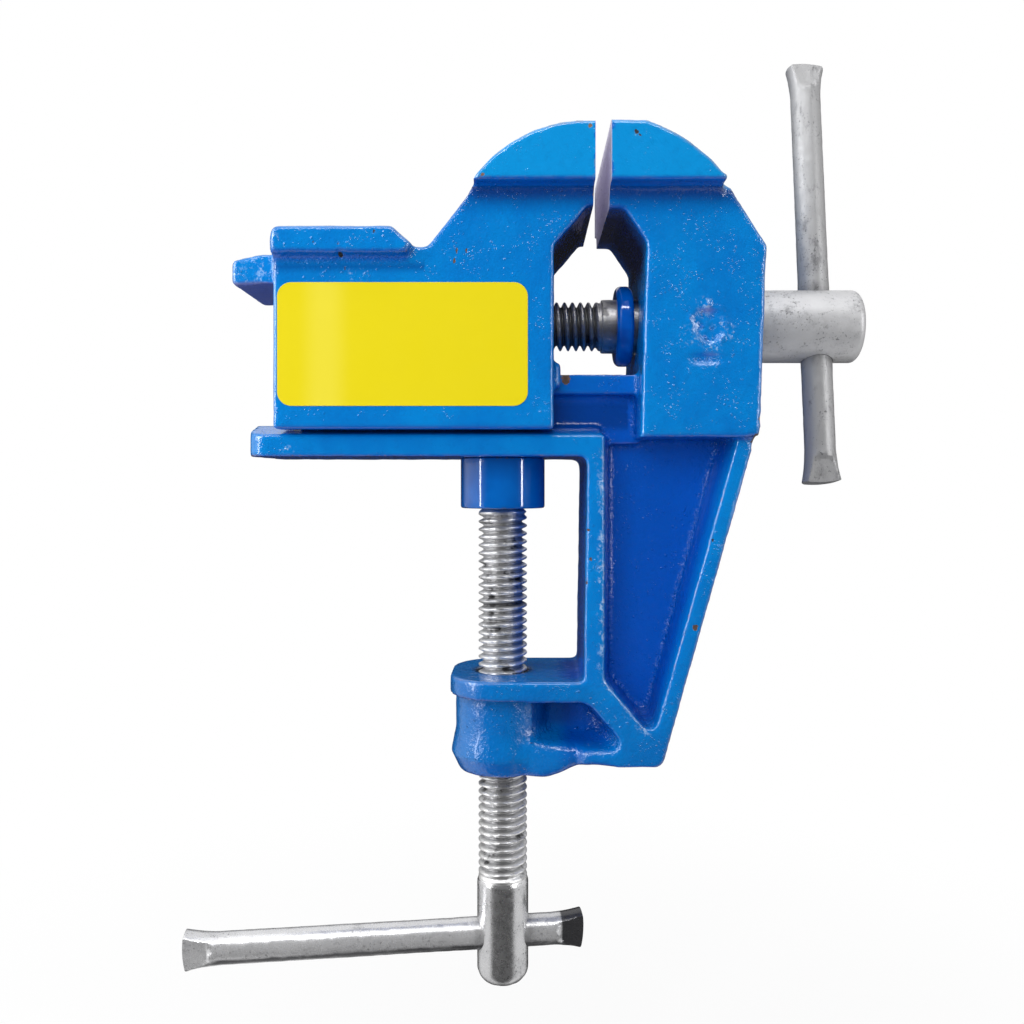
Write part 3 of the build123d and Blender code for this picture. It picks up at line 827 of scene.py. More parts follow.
@dataclass
class Lathe:
    """Turns profiles into meshes round a line.

    Attributes:
        origin: A point on the line, where distance is zero.
        along: The line's direction.
        across: The direction of angle zero.
        sides: Number of points round each ring.
    """

    origin: Point
    along: Point
    across: Point
    sides: int = 72

    def turned(
        self,
        name: str,
        profile: Sequence[tuple[float, float]],
        ring: bool = False,
        shape: Callable[[np.ndarray, np.ndarray, np.ndarray], np.ndarray] | None = None,
        press: Callable[[np.ndarray], np.ndarray] | None = None,
        groove: Callable[[np.ndarray, np.ndarray], np.ndarray] | None = None,
    ) -> bpy.types.Mesh:
        """Makes the mesh of one turned piece.

        Args:
            name: The mesh's name.
            profile: Distance and radius of each ring.
            ring: Whether the last ring joins the first, as on a bored piece.
            shape: Changes the radii, from distances, radii and angles.
            press: Moves points in the lathe's own axes, along, across and third.
            groove: Gives each point's mark "groove", from distances and angles.

        Returns:
            The closed mesh.
        """
        distances = np.array([p[0] for p in profile])[:, None]
        radii = np.array([p[1] for p in profile])[:, None]
        angles = np.linspace(0, 2 * math.pi, self.sides, endpoint=False)[None, :]
        grid = distances + 0 * angles
        reach = radii + 0 * angles
        if shape:
            reach = shape(grid, reach, angles + 0 * grid)
        local = np.stack([grid, reach * np.cos(angles), reach * np.sin(angles)], -1).reshape(-1, 3)
        if press:
            local = press(local)
        rings, sides = len(profile), self.sides
        index = np.arange(rings * sides).reshape(rings, sides)
        following = np.roll(index, -1, axis=1)
        faces: list[tuple[int, ...]] = []
        pairs = list(zip(range(rings - 1), range(1, rings))) + ([(rings - 1, 0)] if ring else [])
        for low, high in pairs:
            quads = np.stack([index[low], following[low], following[high], index[high]], -1)
            faces += [tuple(q) for q in quads.tolist()]
        if not ring:
            for end, turn in ((0, -1), (rings - 1, 1)):
                middle = local[index[end]].mean(0)
                local = np.vstack([local, middle])
                centre = len(local) - 1
                for a, b in zip(index[end].tolist(), following[end].tolist()):
                    faces.append((a, b, centre) if turn > 0 else (b, a, centre))
        along, across = Vector(self.along).normalized(), Vector(self.across).normalized()
        third = along.cross(across)
        axes = np.array([along, across, third])
        points = np.array(self.origin) + local @ axes
        mesh = bpy.data.meshes.new(name)
        mesh.from_pydata((points * MM).tolist(), [], faces)
        mesh.update()
        if groove:
            marks = groove(grid, angles + 0 * grid).ravel()
            carry(mesh, "groove", np.concatenate([marks, np.zeros(len(local) - len(marks))]))
        carry(mesh, "edge", np.clip(bends_of(mesh), 0, SHARPEST))
        return mesh


@dataclass(frozen=True)
class Thread:
    """A right-hand screw thread of 55 degree form with rounded crests and roots."""

    start: float
    stop: float
    crest: float
    root: float
    rows: int = 12
    fade: float = 1.6

    def height(self, distances: np.ndarray, angles: np.ndarray) -> np.ndarray:
        """Height of the turns, 0 in the groove and 1 on the crest."""
        phase = (distances / PITCH - angles / (2 * math.pi)) % 1.0
        ridge = np.clip((1 - np.abs(2 * phase - 1) - 0.12) / 0.72, 0, 1)
        ridge = 0.6 * ridge + 0.4 * ridge**2 * (3 - 2 * ridge)
        inside = np.minimum(distances - self.start, self.stop - distances) / self.fade
        inside = np.clip(inside, 0, 1)
        return np.where(inside > 0, 1 - (1 - ridge) * inside, 1.0)

    def cut(self, distances: np.ndarray, radii: np.ndarray, angles: np.ndarray) -> np.ndarray:
        """Radii with the thread's grooves cut into them."""
        return radii - (self.crest - self.root) * (1 - self.height(distances, angles))

    def groove(self, distances: np.ndarray, angles: np.ndarray) -> np.ndarray:
        """Depth below the crests, 0 to 1."""
        return 1 - self.height(distances, angles)

    def spacing(self, distance: float) -> float:
        """The widest step between rings at a distance."""
        return PITCH / self.rows if self.start < distance < self.stop else 1.2


# ---------------------------------------------------------------- castings


class Bared(Enum):
    """What shows where the enamel is gone."""

    PRIMER = 0.0
    RUST = 0.6
    IRON = 1.0


@dataclass(frozen=True)
class Blemish:
    """A chip or pit in a casting's skin, or a length of scratch.

    Distances along Y count for SIDE_SHARE only, so a place a little off a drafted side marks it.

    Attributes:
        place: Its middle, or its first end.
        size: Its radius.
        depth: How deep it goes.
        bared: What shows in it.
        end: Its other end, where it is long.
    """

    place: Point
    size: float
    depth: float = 0.1
    bared: Bared = Bared.IRON
    end: Point | None = None

    def nearness(self, points: np.ndarray) -> np.ndarray:
        """1 in the blemish's middle, 0 from its edge on."""
        start = np.array(self.place)
        line = np.array(self.end or self.place) - start
        length = max(float(line @ line), 1e-9)
        share = np.clip(((points - start) @ line) / length, 0, 1)
        arm = (points - start - share[:, None] * line) * np.array((1.0, SIDE_SHARE, 1.0))
        away = np.linalg.norm(arm, axis=1)
        return np.clip(1 - away / self.size, 0, 1)


@dataclass
class Casting:
    """A sand casting made from its CAD node.

    Attributes:
        node: The CAD node, which also names the piece.
        slot: The record's material slot.
        grip_x: X of the ground gripping face.
        facing: 1 where that face looks towards +X, -1 towards -X.
        grip_base: Height at which the gripping face begins.
        blemishes: Chips, pits and scratches.
        voxel: Size of the remesh.
        rounding: How many times the skin is averaged, which sets its edge radius.
        lump: Depth of the skin's broad waves.
        face_limit: Most triangles that the mesh may have.
        cheek_base: Height of the cheeks' lower edge.
        screw_height: Height of the main screw's axis.
        thread_clear: Radius that is kept clear round a threaded bore.
        stretch: How far the gripping face is drawn out before it is ground back.
        throat_half: Half width of the relief below the gripping face that is darkened with painted
            shade.
        throat_fade: Width over which that painted shade fades towards the sides.
        throat_base: Height at which the painted shade begins.
        throat_reach: How far the painted shade reaches from the gripping face.
        gloom_base: Height at which the painted shade under the cheeks begins.
        ledge_z: Height of the painted shade under the anvil's ledge.
        ledge_end: X where that ledge ends.
        glints_and_rubs: Spots and lines of pale frost: painted highlights where glints fall, and a
            few fine scuffs.
    """

    node: str
    slot: str
    grip_x: float
    facing: float
    grip_base: float
    blemishes: tuple[Blemish, ...]
    voxel: float = 0.5
    rounding: int = 5
    lump: float = 0.16
    face_limit: int = 190_000
    cheek_base: float = CHEEK_BASE
    screw_height: float = SCREW_HEIGHT
    thread_clear: float = 5.68
    stretch: float = 2.5
    throat_half: float = 18.4
    throat_fade: float = 9.0
    throat_base: float = 37.0
    throat_reach: float = 12.5
    gloom_base: float = 50.5
    ledge_z: float = 39.8
    ledge_end: float = -16.0
    glints_and_rubs: tuple[Blemish, ...] = ()

    def kept(self, points: np.ndarray) -> np.ndarray:
        """How rough the skin is at each point, 0 where something slides or fits."""
        return np.ones(len(points))

    def shelter(self, points: np.ndarray) -> np.ndarray:
        """How far into a pocket each point lies, 0 to 1, which the enamel darkens as painted shade.
        """
        return np.zeros(len(points))

    def throat(self, points: np.ndarray, normals: np.ndarray) -> np.ndarray:
        """How much painted shade darkens the relief below the gripping face at each point, 0 to 1.
        """
        inner = ramp(np.abs(points[:, 1]), self.throat_half, -self.throat_fade) ** 0.7
        across = ramp(np.abs(normals[:, 1]), 0.75, -0.3)
        height = ramp(points[:, 2], self.throat_base, 5.0)
        low = points[:, 2] < self.grip_base + 0.3
        near = np.abs(points[:, 0] - self.grip_x) < self.throat_reach
        facing = normals[:, 0] * self.facing > -0.2
        return inner * across * height * low * near * facing

    def grime(self, points: np.ndarray) -> np.ndarray:
        """How much black grease, dirt and painted shade lies at each point, 0 to 1."""
        return np.zeros(len(points))

    def scuffs_and_glints(self, points: np.ndarray) -> np.ndarray:
        """How much pale frost covers each point, 0 to 1, on the listed spots: painted highlights,
        and a few fine scuffs.
        """
        share = np.zeros(len(points))
        for rub in self.glints_and_rubs:
            share = np.maximum(share, np.clip(1.6 * rub.nearness(points), 0, 1))
        return share

    def coarse(self, points: np.ndarray) -> np.ndarray:
        """How sandy the skin is at each point beyond the usual, 0 to 1."""
        return np.zeros(len(points))

    def painted_shade(self, points: np.ndarray) -> np.ndarray:
        """How much painted shade darkens each point, 0 to 1, under the cheeks and under the anvil's
        ledge.
        """
        x, y, z = points.T
        below = ramp(z, self.gloom_base, 4.5) * (z < self.cheek_base - 0.3)
        ledge = np.clip(1 - np.abs(z - self.ledge_z) / 1.6, 0, 1) * (x < self.ledge_end)
        return np.maximum(0.8 * below, 0.6 * ledge) * (np.abs(y) > self.throat_half - 4.0)

    def eased(self, points: np.ndarray, edges: np.ndarray) -> np.ndarray:
        """Points with the sharper joins between the casting's parts blended."""
        return points

    def cleared(self, points: np.ndarray) -> np.ndarray:
        """Points moved out of the room that the screws and the rail need."""
        return points

    def ground(self, points: np.ndarray) -> np.ndarray:
        """Points with the gripping face ground flat."""
        beyond = (points[:, 0] - self.grip_x) * self.facing > 0
        high = points[:, 2] > self.grip_base - 1.6
        points[beyond & high, 0] = self.grip_x
        return points

    def reliefs(self, points: np.ndarray, normals: np.ndarray) -> np.ndarray:
        """Points with the casting's own raised or sunk marks."""
        return points

    def build(self) -> bpy.types.Object:
        """Makes the piece.

        Returns:
            The casting, dressed and on its body.
        """
        source = bpy.data.objects[self.node]
        obj = shown(f"{self.node}_casting", source.data.copy())
        obj.data.materials.clear()
        points = points_of(obj.data)
        grip = np.abs(points[:, 0] - self.grip_x) < 0.01
        grip &= points[:, 2] > self.grip_base - 0.05
        points[grip, 0] += self.facing * self.stretch
        set_points(obj.data, points)
        remesh = obj.modifiers.new("skin", "REMESH")
        remesh.mode = "VOXEL"
        remesh.voxel_size = self.voxel * MM
        settle(obj)

        mesh = obj.data
        edges = edges_of(mesh)
        points = self.eased(averaged(points_of(mesh), edges, self.rounding, 0.5), edges)
        set_points(mesh, points)
        normals = normals_of(mesh)
        waves = 0.6 * noise_at(points, 5.0, 3.1) + 0.4 * noise_at(points, 1.9, 7.7)
        rise = self.lump * waves * self.kept(points)
        points = self.reliefs(points + normals * rise[:, None], normals)
        for blemish in self.blemishes:
            near = blemish.nearness(points)
            points = points - normals * (blemish.depth * np.sqrt(near))[:, None]
        low, high = (np.array(corner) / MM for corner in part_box(self.node))
        set_points(mesh, self.cleared(self.ground(np.clip(points, low, high))))

        triangles = sum(len(face.vertices) - 2 for face in mesh.polygons)
        if triangles > self.face_limit:
            thin = obj.modifiers.new("thin", "DECIMATE")
            thin.ratio = self.face_limit / triangles
            settle(obj)
        mesh = obj.data
        self.carry_marks(mesh)
        mesh.materials.append(CastEnamel().material())
        mesh.materials.append(GroundIron().material())
        self.bare_grip(mesh)
        fitted(obj, 42, self.node, self.slot, self.node)
        return obj

    def carry_marks(self, mesh: bpy.types.Mesh) -> None:
        """Stores the numbers that the enamel reads on the mesh."""
        bends = bends_of(mesh)
        points, normals = points_of(mesh), normals_of(mesh)
        chip, dark = np.zeros(len(points)), np.zeros(len(points))
        for blemish in self.blemishes:
            near = blemish.nearness(points)
            dark = np.where(near > chip, blemish.bared.value, dark)
            chip = np.maximum(chip, near)
        # Of these marks, the pocket, underside, hollow, throat and under-cheek ones drive painted
        # shade, part of the grime is painted shade, and the frost mark holds painted highlights.
        for name, values in {
            "edge": np.clip(bends, 0, SHARPEST),
            "hollow": np.clip(-bends, 0, SHARPEST),
            "under": ramp(-normals[:, 2], 0.2, 0.5),
            "shelter": self.shelter(points),
            "throat": self.throat(points, normals),
            "calm": 1 - np.clip(self.kept(points), 0, 1),
            "grime": self.grime(points),
            "scuffs_and_glints": self.scuffs_and_glints(points),
            "painted_shade": self.painted_shade(points),
            "coarse": self.coarse(points),
            "chip": chip,
            "dark": dark,
        }.items():
            carry(mesh, name, values)

    def bare_grip(self, mesh: bpy.types.Mesh) -> None:
        """Gives the bare part of the gripping face its ground finish."""
        for face in mesh.polygons:
            middle = face.center / MM
            flat = abs(face.normal.x) > 0.99 and abs(middle.x - self.grip_x) < 0.02
            if flat and middle.z > self.grip_base + 0.4:
                face.material_index = 1


@dataclass
class ClampFrame(Casting):
    """The frame casting: table plate, rail, clamp frame, screw boss and fixed jaw.

    Attributes:
        scar: Middle of the feeder's scar on the near face.
        scar_radius: Radius of the scar's ring.
        hollow: Middle of the hollow below the scar.
        journal_clear: Radius that is kept clear round the main screw's journal.
        block_start: X where the fixed jaw's block begins.
        pocket_start: X where the pockets begin.
        pocket_rim: Half width of the frame at the pockets' rim.
        pocket_floor: Half width of the frame at the pockets' floor.
        arm_top: Height of the lower arm's top.
        blend_rounds: How many times the join of boss and foot is averaged.
        foot_top: Height of the foot's flange.
        neck_foot: Height from which the neck is darkened with painted shade.
        neck_top: Height up to which it is dark.
        neck_gloom: How dark it is there.
        hole_gloom: How dark the painted shade in the lower pocket is.
        foot_gloom: How dark the painted shade grows towards the foot.
    """

    scar: Point = (43.6, -18.9, 27.5)
    scar_radius: float = 3.9
    hollow: Point = (43.2, -18.9, 20.4)
    journal_clear: float = 6.2
    block_start: float = 28.0
    pocket_start: float = 12.0
    pocket_rim: float = 15.2
    pocket_floor: float = 9.0
    arm_top: float = -48.4
    blend_rounds: int = 34
    foot_top: float = -64.0
    neck_foot: float = 5.5
    neck_top: float = 12.8
    neck_gloom: float = 0.75
    hole_gloom: float = 0.85
    foot_gloom: float = 0.3

    def shelter(self, points: np.ndarray) -> np.ndarray:
        """How far into a pocket of the clamp frame each point lies, 0 to 1, for the painted shade
        there.
        """
        x, y, z = points.T
        deep_shade = ramp(np.abs(y), self.pocket_rim, self.pocket_floor - self.pocket_rim)
        inside = ramp(x, self.pocket_start, 3.0) * ramp(z, 19.0, -2.0)
        return deep_shade * inside * (z < 18.0)

    def grime(self, points: np.ndarray) -> np.ndarray:
        """Black grease round the clamp screw's bore, with painted shade where the bore's mouth lies
        in shadow.
        """
        x, y, z = points.T
        ring = np.exp(-((np.maximum(np.hypot(x, y) - self.thread_clear, 0) / 1.1) ** 2))
        return ring * (z < self.arm_top + 2.5)

    def coarse(self, points: np.ndarray) -> np.ndarray:
        """How sandy the skin is beyond the usual, most on the boss and in the pockets."""
        x, y, z = points.T
        low = ramp(z, self.arm_top + 2.0, -3.0)
        return np.maximum(low, 0.5 * self.shelter(points) * (x > self.pocket_start))

    def painted_shade(self, points: np.ndarray) -> np.ndarray:
        """How much painted shade darkens each point, also in the neck and the lower pocket, and
        more towards the foot.
        """
        x, y, z = points.T
        inner = (np.abs(y) < 17.5) & (x < self.block_start)
        neck = ramp(z, self.neck_top, -1.5) * ramp(z, self.neck_foot, 1.5)
        neck = self.neck_gloom * neck * inner * (x > self.pocket_start - 1.0)
        hole = ramp(np.abs(y), 13.0, -4.0) * ramp(x, 19.5, -5.0)
        hole = self.hole_gloom * hole * (x > 6.5) * (z < self.arm_top - 3.5) * ramp(z, -63.0, 4.0)
        spread = 1.5 + 14.0 * ramp(x, 18.0, 8.0)
        low = self.foot_gloom * ramp(z, self.arm_top + 0.4, -spread)
        return np.maximum.reduce([super().painted_shade(points), neck, hole, low])

    def eased(self, points: np.ndarray, edges: np.ndarray) -> np.ndarray:
        """Points with the boss blended into the foot's flange."""
        x, y, z = points.T
        columns = np.arange(2.0, 27.0, 0.75)
        low = z < self.foot_top - 0.2
        halves = [np.abs(y[low & (np.abs(x - c) < 0.6)]).max() for c in columns]
        before = np.interp(x, columns, halves)
        ease = ramp(x, 6.0, 19.0)
        after = 11.2 + 4.5 * ease**2 * (3 - 2 * ease)
        share = ramp(x, 2.5, 2.0) * ramp(x, 26.0, -1.5)
        share = share * ramp(z, self.foot_top + 2.0, -1.6)
        result = points.copy()
        result[:, 1] = y * (1 + share * (after / before - 1))
        for _ in range(self.blend_rounds):
            x, _, z = result.T
            share = ramp(x, 3.5, 3.0) * ramp(x, 25.0, -3.0)
            share = share * ramp(z, self.arm_top - 8.6, -3.0)
            moved = averaged(result, edges, 1, 0.6)
            result = result + share[:, None] * (moved - result)
        return result

    def kept(self, points: np.ndarray) -> np.ndarray:
        """How rough the skin is at each point, 0 on the rail and in the bores."""
        x, y, z = points.T
        rail = ramp(x, 20.0, 3.0) + ramp(z, 19.0, 2.0)
        rail += ramp(z, 2.0, -2.0)
        bore = np.hypot(y, z - self.screw_height)
        rough = np.clip(rail, 0, 1)
        rough *= ramp(bore, 8.0, 2.0) + (x < self.block_start) > 0
        boss = np.hypot(x, y)
        rough *= 1 - 0.9 * (np.abs(z - self.arm_top) < 0.5) * (x < 17.0)
        return rough * ramp(boss, 6.2, 1.0)

    def cleared(self, points: np.ndarray) -> np.ndarray:
        """Points moved out of the room that both screws need."""
        block = points[:, 0] > self.block_start
        pushed_out(points, (1, 2), (0.0, self.screw_height), self.journal_clear, block)
        pushed_out(points, (0, 1), (0.0, 0.0), self.thread_clear, points[:, 2] < -30.0)
        return points

    def reliefs(self, points: np.ndarray, normals: np.ndarray) -> np.ndarray:
        """Adds the feeder's ring scar on the near face and the hollow below it."""
        x, y, z = points.T
        near_face = normals[:, 1] < -0.7
        angle = np.arctan2(z - self.scar[2], x - self.scar[0])
        wobble = 0.25 * np.sin(2 * angle + 0.8) + 0.9 * noise_at(points, 2.6, 13.0)
        away = np.hypot(x - self.scar[0], z - self.scar[2]) + wobble
        ring = np.exp(-(((away - self.scar_radius) / 0.65) ** 2))
        broken = np.clip(0.35 + 1.5 * noise_at(points, 1.7, 21.0), 0, 1.2)
        bowl = np.clip(1 - away / (self.scar_radius * 0.95), 0, 1)
        nub = np.exp(-((away / 0.7) ** 2))
        groove = ((x - self.hollow[0]) / 3.6) ** 2 + ((z - self.hollow[2]) / 1.0) ** 2
        ragged = bowl * noise_at(points, 1.3, 37.0)
        lift = 0.35 * ring * broken - 0.8 * np.sqrt(bowl) + 0.5 * nub - 0.8 * np.exp(-groove)
        lift = lift + 0.7 * ragged
        lift = lift * near_face * (np.abs(y - self.scar[1]) < 1.5)
        return points + normals * lift[:, None]


@dataclass
class MovingJaw(Casting):
    """The moving jaw casting with its anvil and horn, and the blank label on its near side.

    Attributes:
        horn_end: X where the horn joins the anvil.
        horn_frost: How strongly the horn is scuffed.
        label_slot: The record's material slot of the label.
        label_edge: Width of the label's soft edge.
        label_corner: Radius of the label's corners.
    """

    horn_end: float = -49.0
    horn_frost: float = 0.7
    label_slot: str = "label"
    label_edge: float = 0.05
    label_corner: float = 3.0

    def kept(self, points: np.ndarray) -> np.ndarray:
        """How rough the skin is at each point, 0 in the slot and the bore and under the label."""
        x, y, z = points.T
        slot = ramp(z, 19.5, 1.5) + ramp(np.abs(y), 12.5, 1.5)
        rough = np.clip(slot, 0, 1) * ramp(z, 7.5, 1.5)
        bore = np.hypot(y, z - self.screw_height)
        rough *= ramp(bore, 7.5, 1.5)
        low, high = (np.array(corner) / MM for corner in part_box("label"))
        beside = np.maximum.reduce([low[0] - x, x - high[0], low[2] - z, z - high[2]])
        return rough * np.where(y < -18.0, ramp(beside, 0.0, 1.5), 1.0)

    def scuffs_and_glints(self, points: np.ndarray) -> np.ndarray:
        """How much pale frost covers each point: scuffs all over the horn, and the listed spots
        with their painted highlights.
        """
        horn = ramp(points[:, 0], self.horn_end, -1.5) * self.horn_frost
        return np.maximum(horn, super().scuffs_and_glints(points))

    def cleared(self, points: np.ndarray) -> np.ndarray:
        """Points moved out of the room that the main screw needs."""
        pushed_out(points, (1, 2), (0.0, self.screw_height), self.thread_clear)
        return points

    def stick_label(self) -> bpy.types.Object:
        """Makes the blank label, a thin sheet with rounded corners and a soft edge.

        Returns:
            The label, dressed and on the moving jaw.
        """
        low, high = (Vector(corner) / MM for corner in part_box("label"))
        rings = []
        for inset, y in (
            (0.0, high.y),
            (0.0, low.y + self.label_edge),
            (self.label_edge, low.y),
        ):
            radius = self.label_corner - inset
            middles = (
                (high.x - self.label_corner, high.z - self.label_corner, 0),
                (low.x + self.label_corner, high.z - self.label_corner, 1),
                (low.x + self.label_corner, low.z + self.label_corner, 2),
                (high.x - self.label_corner, low.z + self.label_corner, 3),
            )
            ring = []
            for x, z, quarter in middles:
                for step in range(13):
                    angle = (quarter + step / 12) * math.pi / 2
                    ring.append((x + radius * math.cos(angle), y, z + radius * math.sin(angle)))
            rings.append(ring)
        count = len(rings[0])
        points = [Vector(p) * MM for ring in rings for p in ring]
        faces = [tuple(range(count)), tuple(range(3 * count - 1, 2 * count - 1, -1))]
        for low_ring in (0, 1):
            for k in range(count):
                after = (k + 1) % count
                start, upper = low_ring * count, (low_ring + 1) * count
                faces.append((start + k, upper + k, upper + after, start + after))
        mesh = bpy.data.meshes.new("label_sheet")
        mesh.from_pydata(points, [], faces)
        mesh.materials.append(VinylLabel().material())
        obj = shown("label_sheet", mesh)
        fitted(obj, 30, self.node, self.label_slot, "label")
        return obj


# ---------------------------------------------------------------- screws


@dataclass
class TommyBar:
    """A round bar with both ends flared and pinched flat by a swage.

    Attributes:
        name: The piece's name.
        node: The CAD node that it stands for.
        centre: Where it crosses its screw.
        along: Its direction.
        flat: The direction that its flats face.
        up: Length from the centre along its direction.
        down: Length the other way.
        finish: Its plating.
        radius: Its radius.
        flare: Radius of its ends.
        flare_length: How far from each end the flare begins.
        pinch: Half thickness of the flats at the ends.
        pinch_length: Length of the flats.
        pinch_ramp: Length over which a flat runs out.
        edge: Rounding of its end faces.
        mouth: How far from its centre a smear of grease with painted contact shade lies.
        smear: Half width of that smear.
        line: Strength of a painted dark reflection along one side.
        reflection_side: The normal direction along which that painted reflection runs.
        blackened: How black the end is that its direction points to.
        seed: Start of its noise.
    """

    name: str
    node: str
    centre: Point
    along: Vector
    flat: Vector
    up: float
    down: float
    finish: ZincPlate
    radius: float = 3.5
    flare: float = 4.4
    flare_length: float = 8.0
    pinch: float = 2.45
    pinch_length: float = 5.8
    pinch_ramp: float = 0.9
    edge: float = 0.9
    mouth: float = 8.2
    smear: float = 2.4
    line: float = 0.0
    reflection_side: Point = (0.0, -0.82, -0.57)
    blackened: float = 0.0
    seed: float = 1.0

    def flared(self, distance: float) -> float:
        """The bar's radius at a distance from its centre."""
        end = self.up if distance > 0 else self.down
        share = max(0.0, 1 - (end - abs(distance)) / self.flare_length)
        return self.radius + (self.flare - self.radius) * share**1.6

    def pressed(self, local: np.ndarray) -> np.ndarray:
        """Points with both ends pinched flat, and a few dents.

        Args:
            local: Points along the bar, across it towards the flats, and along them.

        Returns:
            The moved points.
        """
        distance = local[:, 0]
        end = np.where(distance > 0, self.up, self.down)
        inward = end - np.abs(distance)
        side = local[:, 2] / self.flare
        reach = self.pinch_length * (1 - 0.22 * side**2 + 0.12 * side)
        slope = ramp(inward, reach, self.pinch_ramp)
        limit = self.pinch + 0.06 * inward + (self.flare - self.pinch) * slope
        out = local.copy()
        out[:, 1] = np.clip(local[:, 1], -limit, limit)
        domed = 0.45 * side**2 + 0.55 * np.clip(0.5 - 0.5 * side, 0, 1)
        out[:, 0] -= np.sign(distance) * domed * np.clip(1 - inward / 3.0, 0, 1)
        dents = 0.05 * noise_at(local, 2.4, self.seed) + 0.03 * noise_at(local, 0.9, self.seed + 5)
        away = ramp(np.abs(distance), 9.5, 2.0)
        girth = np.maximum(np.linalg.norm(out[:, 1:], axis=1), TINY)
        shrink = 1 - (0.06 + dents) * away / np.maximum(girth, 1.0)
        out[:, 1:] *= np.minimum(shrink, 1.0)[:, None]
        return out

    def build(self) -> bpy.types.Object:
        """Makes the piece.

        Returns:
            The bar, dressed and on its body.
        """
        corners = [(-self.down, self.flare * 0.45, 0.0), (-self.down, self.flare, self.edge)]
        steps = int((self.down + self.up) / 0.6)
        for k in range(1, steps):
            distance = -self.down + (self.down + self.up) * k / steps
            corners.append((distance, self.flared(distance), 0.0))
        corners += [(self.up, self.flare, self.edge), (self.up, self.flare * 0.45, 0.0)]
        lathe = Lathe(self.centre, tuple(self.along), tuple(self.flat), 80)
        mesh = lathe.turned(self.name, softened(corners), press=self.pressed)
        mesh.materials.append(self.finish.material())
        points, normals = points_of(mesh), normals_of(mesh)
        along = (points - np.array(self.centre)) @ np.array(self.along)
        # Grime mark: grease smears with painted contact shade at the mouths, a painted dark
        # reflection line, and the blackened end.
        mouth = 0.4 * np.clip(1 - np.abs(np.abs(along) - self.mouth) / self.smear, 0, 1)
        mouth *= 1 + 0.8 * noise_at(points, 1.6, self.seed)
        line = np.exp(-(((normals @ np.array(self.reflection_side) - 1) / 0.045) ** 2)) * self.line
        blackened = ramp(along, self.up - self.pinch_length + 0.3, 0.5) * self.blackened
        carry(mesh, "grime", np.maximum.reduce([mouth, line, blackened]))
        obj = shown(self.name, mesh)
        fitted(obj, 28, self.node, "tommy_bars", self.node)
        return obj


